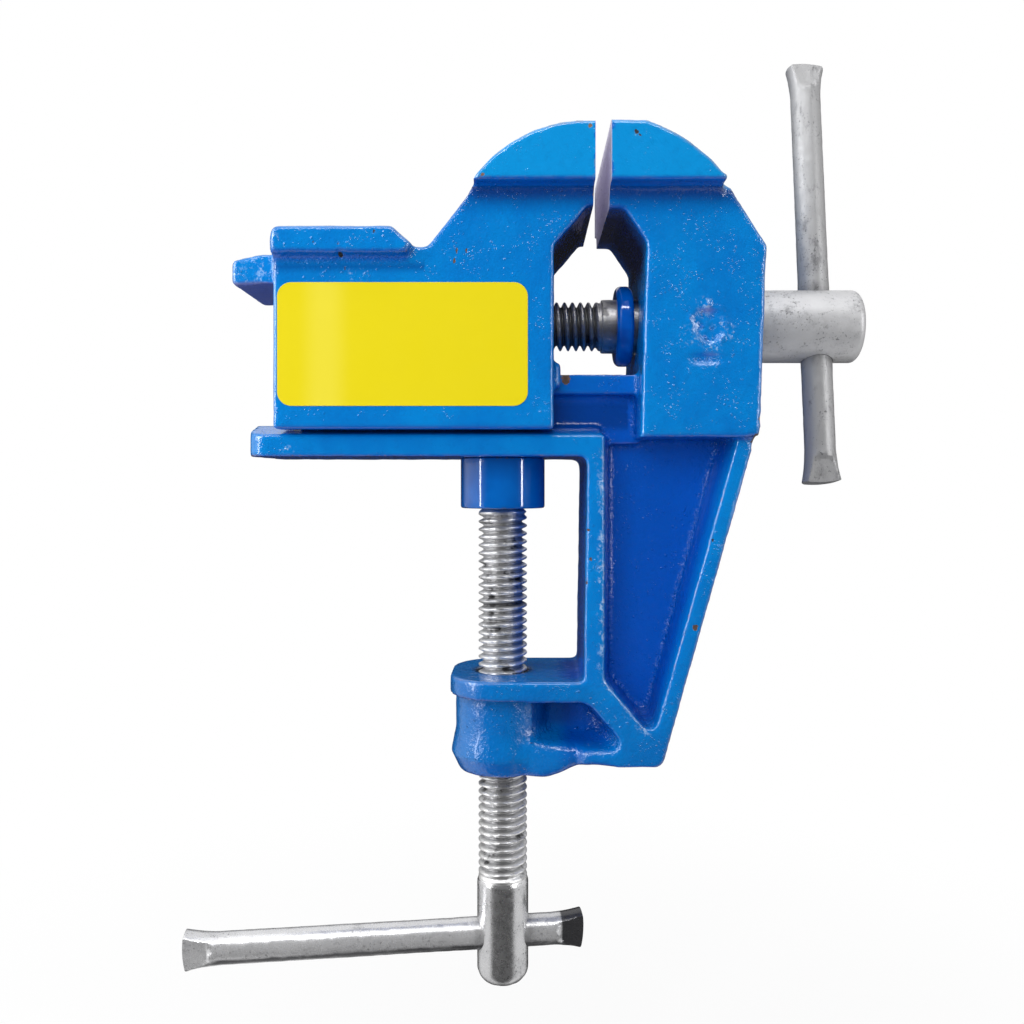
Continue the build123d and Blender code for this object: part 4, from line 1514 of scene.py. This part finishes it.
@dataclass
class MainScrew:
    """The main screw with its collar, pin and tommy bar.

    Attributes:
        height: Height of its axis.
        thread: Its thread, by place along X.
        journal_start: X where the journal begins.
        seat: X of the head's inner face.
        head_end: X of the head's outer face.
    """

    height: float = SCREW_HEIGHT
    thread: Thread = Thread(-37.2, 22.3, 5.55, 4.35)
    thread_end: float = -38.0
    journal_start: float = 22.5
    journal_radius: float = 6.1
    seat: float = 55.15
    head_end: float = 80.95
    head_radius: float = 8.25
    bar_x: float = 71.6
    bar_tilt: float = 8.0
    bar_up: float = 63.6
    bar_down: float = 36.5
    bar_hole: float = 3.64
    pin_hole: float = 1.03

    def __post_init__(self) -> None:
        """Works out the bar's direction and the lathe's line."""
        tilt = math.radians(self.bar_tilt)
        self.bar_along = Vector((0, math.sin(tilt), math.cos(tilt)))
        self.lathe = Lathe((0, 0, self.height), (1, 0, 0), (0, 1, 0), 80)
        low, high = (Vector(corner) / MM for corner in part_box("retaining_collar"))
        self.collar = (low.x, high.x, (high.z - low.z) / 2)
        self.pin_x = (low.x + high.x) / 2

    def turn_screw(self) -> bpy.types.Object:
        """Makes the screw itself, cross-drilled for the bar and the collar's pin.

        Returns:
            The screw, dressed and on its body.
        """
        profile = softened([
            (self.thread_end, 3.9, 0.0),
            (self.thread_end, 4.5, 0.1),
            (self.thread_end + 1.0, self.thread.crest, 0.2),
            (self.journal_start - 0.1, self.thread.crest, 0.05),
            (self.journal_start, self.journal_radius - 0.1, 0.05),
            (self.journal_start + 0.4, self.journal_radius, 0.2),
            (self.seat, self.journal_radius, 0.0),
            (self.seat, self.head_radius - 0.35, 0.05),
            (self.seat + 0.35, self.head_radius, 0.2),
            (self.head_end - 0.9, self.head_radius, 0.7),
            (self.head_end, self.head_radius - 1.1, 0.5),
            (self.head_end, 3.0, 0.0),
        ])
        mesh = self.lathe.turned(
            "main_screw_turned",
            stepped(profile, self.thread.spacing),
            shape=self.hammered,
            groove=self.thread.groove,
        )
        obj = shown("main_screw_turned", mesh)
        for finish in (
            ThreadSteel("dark_thread_steel", (0.62, 0.61, 0.6), (0.27, 0.27, 0.27), 0.3, 0.46),
            ZincPlate("dull_zinc_head", (0.64, 0.64, 0.65), rough=0.44, grime=0.5, metal=0.4),
            ZincPlate("sawn_screw_end", (0.2, 0.2, 0.21), rough=0.5, metal=0.6),
        ):
            mesh.materials.append(finish.material())
        for face in mesh.polygons:
            if face.center.x > (self.seat - 0.2) * MM:
                face.material_index = 1
            elif face.center.x < (self.thread_end + 0.3) * MM:
                face.material_index = 2
        hole = Lathe((self.bar_x, 0, self.height), tuple(self.bar_along), (1, 0, 0), 56)
        span = self.head_radius + 2
        bar_drill = hole.turned("bar_hole", [(-span, self.bar_hole), (span, self.bar_hole)])
        bored(obj, bar_drill, self.pin_drill(span))
        fitted(obj, 35, "main_screw", "main_screw", "main_screw")
        return obj

    def hammered(self, distances: np.ndarray, radii: np.ndarray, angles: np.ndarray) -> np.ndarray:
        """Radii with the thread cut and a few knocks on the head.

        Args:
            distances: Place along the screw of each point.
            radii: Radius of each point.
            angles: Angle of each point.

        Returns:
            The new radii.
        """
        radii = self.thread.cut(distances, radii, angles)
        head = ramp(distances, self.seat + 1.0, 2.0)
        points = np.stack([distances, radii * np.cos(angles), radii * np.sin(angles)], -1)
        knocks = noise_at(points.reshape(-1, 3), 3.4, 11.0).reshape(radii.shape)
        return radii - 0.1 * head * np.clip(knocks - 0.1, 0, 1) * (radii > 4)

    def pin_drill(self, reach: float) -> bpy.types.Mesh:
        """The room of the collar pin's hole, reaching this far each way from the screw's axis."""
        pin = Lathe((self.pin_x, 0, self.height), (0, 0, 1), (1, 0, 0), 24)
        return pin.turned("pin_hole", [(-reach, self.pin_hole), (reach, self.pin_hole)])

    def fit_collar(self) -> bpy.types.Object:
        """Makes the collar, drilled for its pin.

        Returns:
            The collar, dressed and on the screw.
        """
        start, stop, radius = self.collar
        bore = self.journal_radius + 0.02
        profile = softened([
            (start, bore, 0.0),
            (start, radius - 0.8, 0.5),
            (start + 0.8, radius, 0.7),
            (stop - 0.8, radius, 0.7),
            (stop, radius - 0.8, 0.5),
            (stop, bore, 0.0),
        ])
        mesh = self.lathe.turned("collar_ring", profile, ring=True)
        mesh.materials.append(
            TurnedEnamel("dark_blue_collar", (0.0, 0.1, 0.5), (0.0, 0.05, 0.3)).material()
        )
        obj = shown("collar_ring", mesh)
        bored(obj, self.pin_drill(20.0))
        fitted(obj, 35, "main_screw", "collar", "retaining_collar")
        return obj

    def fit_pin(self) -> bpy.types.Object:
        """Makes the collar's pin with a small dome on each end.

        Returns:
            The pin, dressed and on the screw.
        """
        low, high = (Vector(corner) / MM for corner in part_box("collar_pin"))
        radius = (high.x - low.x) / 2
        profile = softened([
            (low.z, radius * 0.4, 0.0),
            (low.z + 0.25, radius, 0.2),
            (high.z - 0.25, radius, 0.2),
            (high.z, radius * 0.4, 0.0),
        ])
        mesh = Lathe((self.pin_x, 0, 0), (0, 0, 1), (1, 0, 0), 32).turned(
            "collar_cross_pin", stepped(profile, lambda _: 1.5)
        )
        mesh.materials.append(ZincPlate("pin_steel", (0.4, 0.4, 0.41), grime=0.3).material())
        obj = shown("collar_cross_pin", mesh)
        fitted(obj, 35, "main_screw", "pin", "collar_pin")
        return obj

    def fit_bar(self) -> bpy.types.Object:
        """Makes the upper tommy bar."""
        flat = self.bar_along.cross(Vector((1, 0, 0)))
        finish = ZincPlate(
            "dull_zinc_bar", (0.4, 0.4, 0.405), rough=0.46, grime=0.55,
            stretch=(1, 1, 0.45), metal=0.45,
        )
        return TommyBar(
            "main_tommy_bar", "main_handle", (self.bar_x, 0, self.height), self.bar_along, flat,
            self.bar_up, self.bar_down, finish, seed=3.0,
        ).build()


@dataclass
class ClampScrew:
    """The clamp screw with its swivel pad and tommy bar, by depth below the table plate."""

    thread: Thread = Thread(12.0, 95.4, 5.55, 4.4)
    spigot_top: float = 3.4
    spigot_foot: float = 5.0
    spigot_radius: float = 3.4
    spigot_head: float = 4.9
    shoulder: float = 11.45
    thread_end: float = 95.6
    shank_radius: float = 5.85
    foot: float = 119.2
    pad_top: float = 0.05
    pad_foot: float = 11.4
    pad_radius: float = 9.6
    pad_bore: float = 3.45
    pad_recess: float = 6.4
    recess_foot: float = 5.05
    bar_depth: float = 108.5
    bar_turn: float = 7.5
    bar_left: float = 70.7
    bar_right: float = 18.6
    bar_hole: float = 3.64

    def __post_init__(self) -> None:
        """Works out the bar's direction and the lathe's line."""
        turn = math.radians(self.bar_turn)
        self.bar_along = Vector((math.cos(turn), math.sin(turn), 0))
        self.lathe = Lathe((0, 0, 0), (0, 0, -1), (1, 0, 0), 80)

    def turn_screw(self) -> bpy.types.Object:
        """Makes the screw itself, cross-drilled for its bar.

        Returns:
            The screw, dressed and on its body.
        """
        profile = softened([
            (self.spigot_top, 2.4, 0.0),
            (self.spigot_top, self.spigot_head, 0.4),
            (self.spigot_foot, self.spigot_head, 0.1),
            (self.spigot_foot, self.spigot_radius, 0.1),
            (self.shoulder, self.spigot_radius, 0.0),
            (self.shoulder, self.thread.crest - 0.9, 0.1),
            (self.shoulder + 0.8, self.thread.crest, 0.2),
            (self.thread_end, self.thread.crest, 0.2),
            (self.thread_end + 0.9, self.shank_radius, 0.3),
            (self.foot - 2.0, self.shank_radius, 1.2),
            (self.foot, self.shank_radius - 1.7, 0.9),
            (self.foot, 2.0, 0.0),
        ])
        mesh = self.lathe.turned(
            "clamp_screw_turned",
            stepped(profile, self.thread.spacing),
            shape=self.battered,
            groove=self.thread.groove,
        )
        obj = shown("clamp_screw_turned", mesh)
        for finish in (
            ThreadSteel(
                "bright_zinc_thread", (0.82, 0.82, 0.82), (0.52, 0.52, 0.53), 0.46, 0.42, -33.0
            ),
            ZincPlate(
                "bright_zinc_shank", (0.74, 0.74, 0.75),
                rough=0.26, grime=0.45, metal=0.9, scuff=0.02,
            ),
        ):
            mesh.materials.append(finish.material())
        for face in mesh.polygons:
            if face.center.z < -(self.thread_end + 0.2) * MM:
                face.material_index = 1
        hole = Lathe((0, 0, -self.bar_depth), tuple(self.bar_along), (0, 0, 1), 56)
        span = self.shank_radius + 2
        bored(obj, hole.turned("bar_hole", [(-span, self.bar_hole), (span, self.bar_hole)]))
        fitted(obj, 35, "clamp_screw", "clamp_screw", "clamp_screw")
        return obj

    def battered(self, distances: np.ndarray, radii: np.ndarray, angles: np.ndarray) -> np.ndarray:
        """Radii with the thread cut, its crests nicked and the foot chipped.

        Args:
            distances: Depth of each point.
            radii: Radius of each point.
            angles: Angle of each point.

        Returns:
            The new radii.
        """
        radii = self.thread.cut(distances, radii, angles)
        points = np.stack([distances, radii * np.cos(angles), radii * np.sin(angles)], -1)
        chips = noise_at(points.reshape(-1, 3), 2.2, 31.0).reshape(radii.shape)
        low = ramp(distances, self.foot - 3.0, 2.5)
        shank = ramp(distances, self.thread_end + 2.0, 2.0)
        nicks = 0.35 * low * np.clip(chips - 0.15, 0, 1) + 0.05 * shank * np.clip(chips, 0, 1)
        return radii - nicks * (radii > 3.9)

    def turn_pad(self) -> bpy.types.Object:
        """Makes the swivel pad.

        Returns:
            The pad, dressed and on its body.
        """
        profile = softened([
            (self.pad_top, self.pad_recess, 0.0),
            (self.pad_top, self.pad_radius, 0.35),
            (self.pad_foot, self.pad_radius, 0.6),
            (self.pad_foot, self.pad_bore, 0.0),
            (self.recess_foot, self.pad_bore, 0.0),
            (self.recess_foot, self.pad_recess, 0.0),
        ])
        mesh = self.lathe.turned("swivel_pad", stepped(profile, lambda _: 1.0), ring=True)
        finish = TurnedEnamel("glossy_blue_pad", (0.0, 0.13, 0.52), (0.0, 0.11, 0.46), 0.05, 0.002)
        mesh.materials.append(finish.material())
        obj = shown("swivel_pad", mesh)
        fitted(obj, 35, "clamp_pad", "pad", "clamp_pad")
        return obj

    def fit_bar(self) -> bpy.types.Object:
        """Makes the lower tommy bar."""
        flat = Vector((0, 0, 1)).cross(self.bar_along)
        finish = ZincPlate(
            "bright_zinc_bar", (0.72, 0.72, 0.73), rough=0.26, grime=0.4,
            stretch=(0.45, 1, 1), metal=0.5, scuff=0.01,
        )
        return TommyBar(
            "clamp_tommy_bar", "clamp_handle", (0, 0, -self.bar_depth), self.bar_along, flat,
            self.bar_right, self.bar_left, finish,
            # A painted dark reflection runs along the lower bar's lower front.
            mouth=5.8, smear=1.6, line=1.3, blackened=2.0, seed=9.0,
        ).build()


# ---------------------------------------------------------------- studio


class Seen(Enum):
    """Which surfaces a lamp works on."""

    BOTH = (True, True)
    LIGHT = (True, False)
    GLINT = (False, True)


@dataclass(frozen=True)
class Lamp:
    """A rectangular soft lamp, placed round the object as seen from the camera's side.

    Attributes:
        name: The lamp's name.
        turn: Angle to the right of the camera's direction, in degrees.
        lift: Angle above the horizon, in degrees.
        width: Its width in millimetres.
        height: Its height in millimetres.
        radiance: How bright its face is, where 1 is white.
        seen: Whether it lights, shows in gloss, or both.
        distance: How far it stands from the object's middle.
        middle: The object's middle, which it faces.
    """

    name: str
    turn: float
    lift: float
    width: float
    height: float
    radiance: float
    seen: Seen = Seen.BOTH
    distance: float = 500.0
    middle: Point = (5.0, 0.0, -10.0)

    def hang(self) -> None:
        """Adds the lamp to the scene."""
        turn, lift = math.radians(self.turn), math.radians(self.lift)
        level = math.cos(lift)
        way = Vector((math.sin(turn) * level, -math.cos(turn) * level, math.sin(lift)))
        data = bpy.data.lights.new(self.name, "AREA")
        data.shape = "RECTANGLE"
        data.size, data.size_y = self.width * MM, self.height * MM
        data.energy = self.radiance * math.pi * data.size * data.size_y
        data.cycles.use_multiple_importance_sampling = self.seen is not Seen.LIGHT
        lamp = bpy.data.objects.new(self.name, data)
        lamp.location = (Vector(self.middle) + way * self.distance) * MM
        lamp.rotation_euler = (-way).to_track_quat("-Z", "Y").to_euler()
        lamp.visible_diffuse, lamp.visible_glossy = self.seen.value
        lamp.visible_camera = False
        bpy.context.collection.objects.link(lamp)


@dataclass
class Studio:
    """The white studio with its floor, lamps and camera.

    Attributes:
        floor_height: Height of the floor.
        floor_half: Half the floor's width.
        floor_steps: Number of squares along each side of the floor.
        camera_place: Where the camera stands.
        focal: The camera's focal length.
        shift: How far the picture is shifted, in picture widths.
        world_light: How strongly the world lights what isn't mirrored.
        dark_front: How much darker the world's front is.
        dark_back: How much darker its back is.
        open_back: Directions' Z between which the back opens to white.
        dark_edge: Directions' Y between which the dark parts fade in.
        lamps: The lamps.
    """

    floor_height: float = -157.0
    floor_half: float = 3000.0
    floor_steps: int = 2
    camera_place: Point = (5.1, -225.5, -5.7)
    focal: float = 983 / 1024 * 36
    shift: tuple[float, float] = (-13 / 1024, -29 / 1024)
    world_light: float = 0.38
    dark_front: float = 0.95
    dark_back: float = 0.985
    open_back: tuple[float, float] = (0.32, 0.48)
    dark_edge: tuple[float, float] = (0.3, 0.8)
    lamps: tuple[Lamp, ...] = field(default_factory=lambda: (
        Lamp("left_box", -68, 24, 300, 350, 4.0),
        Lamp("left_band", -62, 8, 36, 460, 15.0, Seen.GLINT, 480.0),
        Lamp("right_strip", 54, 12, 40, 400, 17.0, Seen.GLINT),
        Lamp("top_box", 10, 82, 420, 420, 1.1),
        Lamp("front_fill", -12, 18, 420, 420, 3.5, Seen.LIGHT, 540.0),
        Lamp("right_fill", 95, 20, 350, 350, 0.6, Seen.LIGHT),
        Lamp("back_fill", 175, 25, 450, 450, 0.85, Seen.LIGHT, 560.0),
        Lamp("top_glint", -6, 52, 420, 34, 20.0, Seen.GLINT),
    ))

    def lay_floor(self) -> None:
        """Adds the pale floor, low enough for the clamp screw's whole travel."""
        count = self.floor_steps
        half = self.floor_half * MM
        spots = [-half + 2 * half * k / count for k in range(count + 1)]
        points = [(x, y, self.floor_height * MM) for y in spots for x in spots]
        width = count + 1
        faces = [
            (j * width + i, j * width + i + 1, (j + 1) * width + i + 1, (j + 1) * width + i)
            for j in range(count)
            for i in range(count)
        ]
        mesh = bpy.data.meshes.new("pale_floor")
        mesh.from_pydata(points, [], faces)
        mesh.materials.append(FloorCard().material())
        shown("pale_floor", mesh)

    def light(self) -> None:
        """Hangs the lamps and sets the world, which is darker towards the front for gloss."""
        world = bpy.data.worlds.new("white_room")
        bpy.context.scene.world = world
        world.use_nodes = True
        world.cycles.sampling_method = "NONE"
        tree = world.node_tree
        tree.nodes.clear()
        way = add_node(tree, "ShaderNodeTexCoord", output="Generated")
        depth = add_node(tree, "ShaderNodeSeparateXYZ", None, {0: way}, "Y")
        lift = add_node(tree, "ShaderNodeSeparateXYZ", None, {0: way}, "Z")
        direct, mirror = ray_kinds(tree)
        front = (0.0 - depth).rising(*self.dark_edge) * self.dark_front
        rear = depth.rising(*self.dark_edge) * self.dark_back
        rear = rear * (1.0 - lift.rising(*self.open_back))
        strength = direct.highest(mirror * (1.0 - front - rear))
        strength = strength + (1.0 - direct.highest(mirror)) * (1.0 - front) * self.world_light
        back = add_node(tree, "ShaderNodeBackground", None, {"Strength": strength})
        output = tree.nodes.new("ShaderNodeOutputWorld")
        tree.links.new(back.socket, output.inputs[0])
        back.socket.node.inputs["Color"].default_value = (1.0, 1.0, 1.0, 1.0)
        for lamp in self.lamps:
            lamp.hang()

    def place_camera(self) -> None:
        """Adds the camera at the photograph's viewing angle."""
        data = bpy.data.cameras.new("camera")
        data.sensor_width = 36
        data.lens = self.focal
        data.shift_x, data.shift_y = self.shift
        data.clip_start = 0.01
        camera = bpy.data.objects.new("camera", data)
        camera.location = Vector(self.camera_place) * MM
        camera.rotation_euler = (math.pi / 2, 0, 0)
        bpy.context.collection.objects.link(camera)
        bpy.context.scene.camera = camera

    def set_up(self) -> None:
        """Builds the whole studio."""
        bpy.context.scene.view_settings.view_transform = "Standard"
        self.place_camera()
        self.lay_floor()
        self.light()


def main() -> None:
    """Builds the vise's sub-assemblies in order, then the studio."""
    logging.basicConfig(level=logging.INFO, format="%(name)s: %(message)s")
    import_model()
    Studio().set_up()
    ClampFrame(
        "frame", "frame_casting", 22.85, -1.0, 52.2,
        (
            Blemish((27.9, -25.0, 66.1), 1.0, 0.25),
            Blemish((28.6, -25.0, 65.2), 0.5, 0.15),
            Blemish((26.6, -22.5, 53.9), 0.8, 0.12, end=(34.0, -23.4, 55.4)),
            Blemish((41.4, -15.7, -36.6), 1.2, 0.25, Bared.RUST),
            Blemish((45.2, -15.7, -17.9), 0.7, 0.15),
            Blemish((54.6, -18.9, 3.6), 2.6, 0.35, Bared.RUST),
            Blemish((54.9, -18.9, 7.8), 1.2, 0.2, Bared.PRIMER),
            Blemish((18.6, -15.7, -15.7), 0.7, 0.15, Bared.RUST),
            Blemish((19.1, -15.7, -22.0), 0.8, 0.1, Bared.RUST),
            Blemish((18.4, -15.7, -27.0), 0.6, 0.15, Bared.RUST),
            Blemish((14.0, -11.0, 16.3), 1.5, 0.05, Bared.RUST, (14.0, -11.0, 17.6)),
            Blemish((14.0, -11.0, 16.9), 1.9, 0.03, Bared.PRIMER),
        ),
        # Pale frost spots and lines on the frame: painted highlights where glints fall.
        glints_and_rubs=(
            Blemish((46.4, -18.9, 26.4), 3.2), Blemish((43.0, -18.9, 31.2), 2.6),
            Blemish((40.0, -18.9, 25.6), 2.4), Blemish((44.4, -18.9, 22.8), 2.4),
            Blemish((-45.7, -15.7, 2.6), 2.8), Blemish((-6.2, -9.0, -48.6), 1.4),
            Blemish((21.6, -15.7, 0.5), 1.1, end=(21.6, -15.7, -45.0)),
            Blemish((22.4, -15.7, -48.0), 1.0, end=(31.0, -15.7, -59.6)),
            Blemish((46.4, -8.0, -1.0), 1.0, end=(32.6, -8.0, -54.0)),
        ),
    ).build()
    moving = MovingJaw(
        "moving_jaw", "moving_casting", 19.5, 1.0, 52.8,
        (
            Blemish((18.4, -25.0, 67.3), 0.9, 0.15, Bared.PRIMER),
            Blemish((-3.5, -25.0, 57.4), 0.8, 0.1, Bared.PRIMER),
            Blemish((-26.2, -22.0, 46.5), 0.7, 0.2),
            Blemish((-33.6, -22.0, 44.0), 0.6, 0.15, Bared.RUST),
            Blemish((-33.4, -21.0, 41.9), 1.0, 0.25),
            Blemish((-38.8, -22.0, 44.4), 0.5, 0.15),
            Blemish((-32.8, -18.9, 39.5), 0.6, 0.15),
            Blemish((-9.8, -18.9, 40.6), 0.35, 0.08, Bared.RUST, (-9.2, -18.9, 43.6)),
            Blemish((-7.4, -18.9, 42.6), 0.35, 0.08, Bared.RUST, (-7.0, -18.9, 43.8)),
        ),
        # Pale frost on the horn and above the label: scuffs with painted highlights.
        glints_and_rubs=(Blemish((-48.0, -22.0, 45.6), 2.0), Blemish((-30.5, -18.9, 38.4), 2.0)),
    )
    moving.build()
    moving.stick_label()
    main_screw = MainScrew()
    main_screw.turn_screw()
    main_screw.fit_collar()
    main_screw.fit_pin()
    main_screw.fit_bar()
    clamp = ClampScrew()
    clamp.turn_screw()
    clamp.turn_pad()
    clamp.fit_bar()


if __name__ == "__main__":
    main()
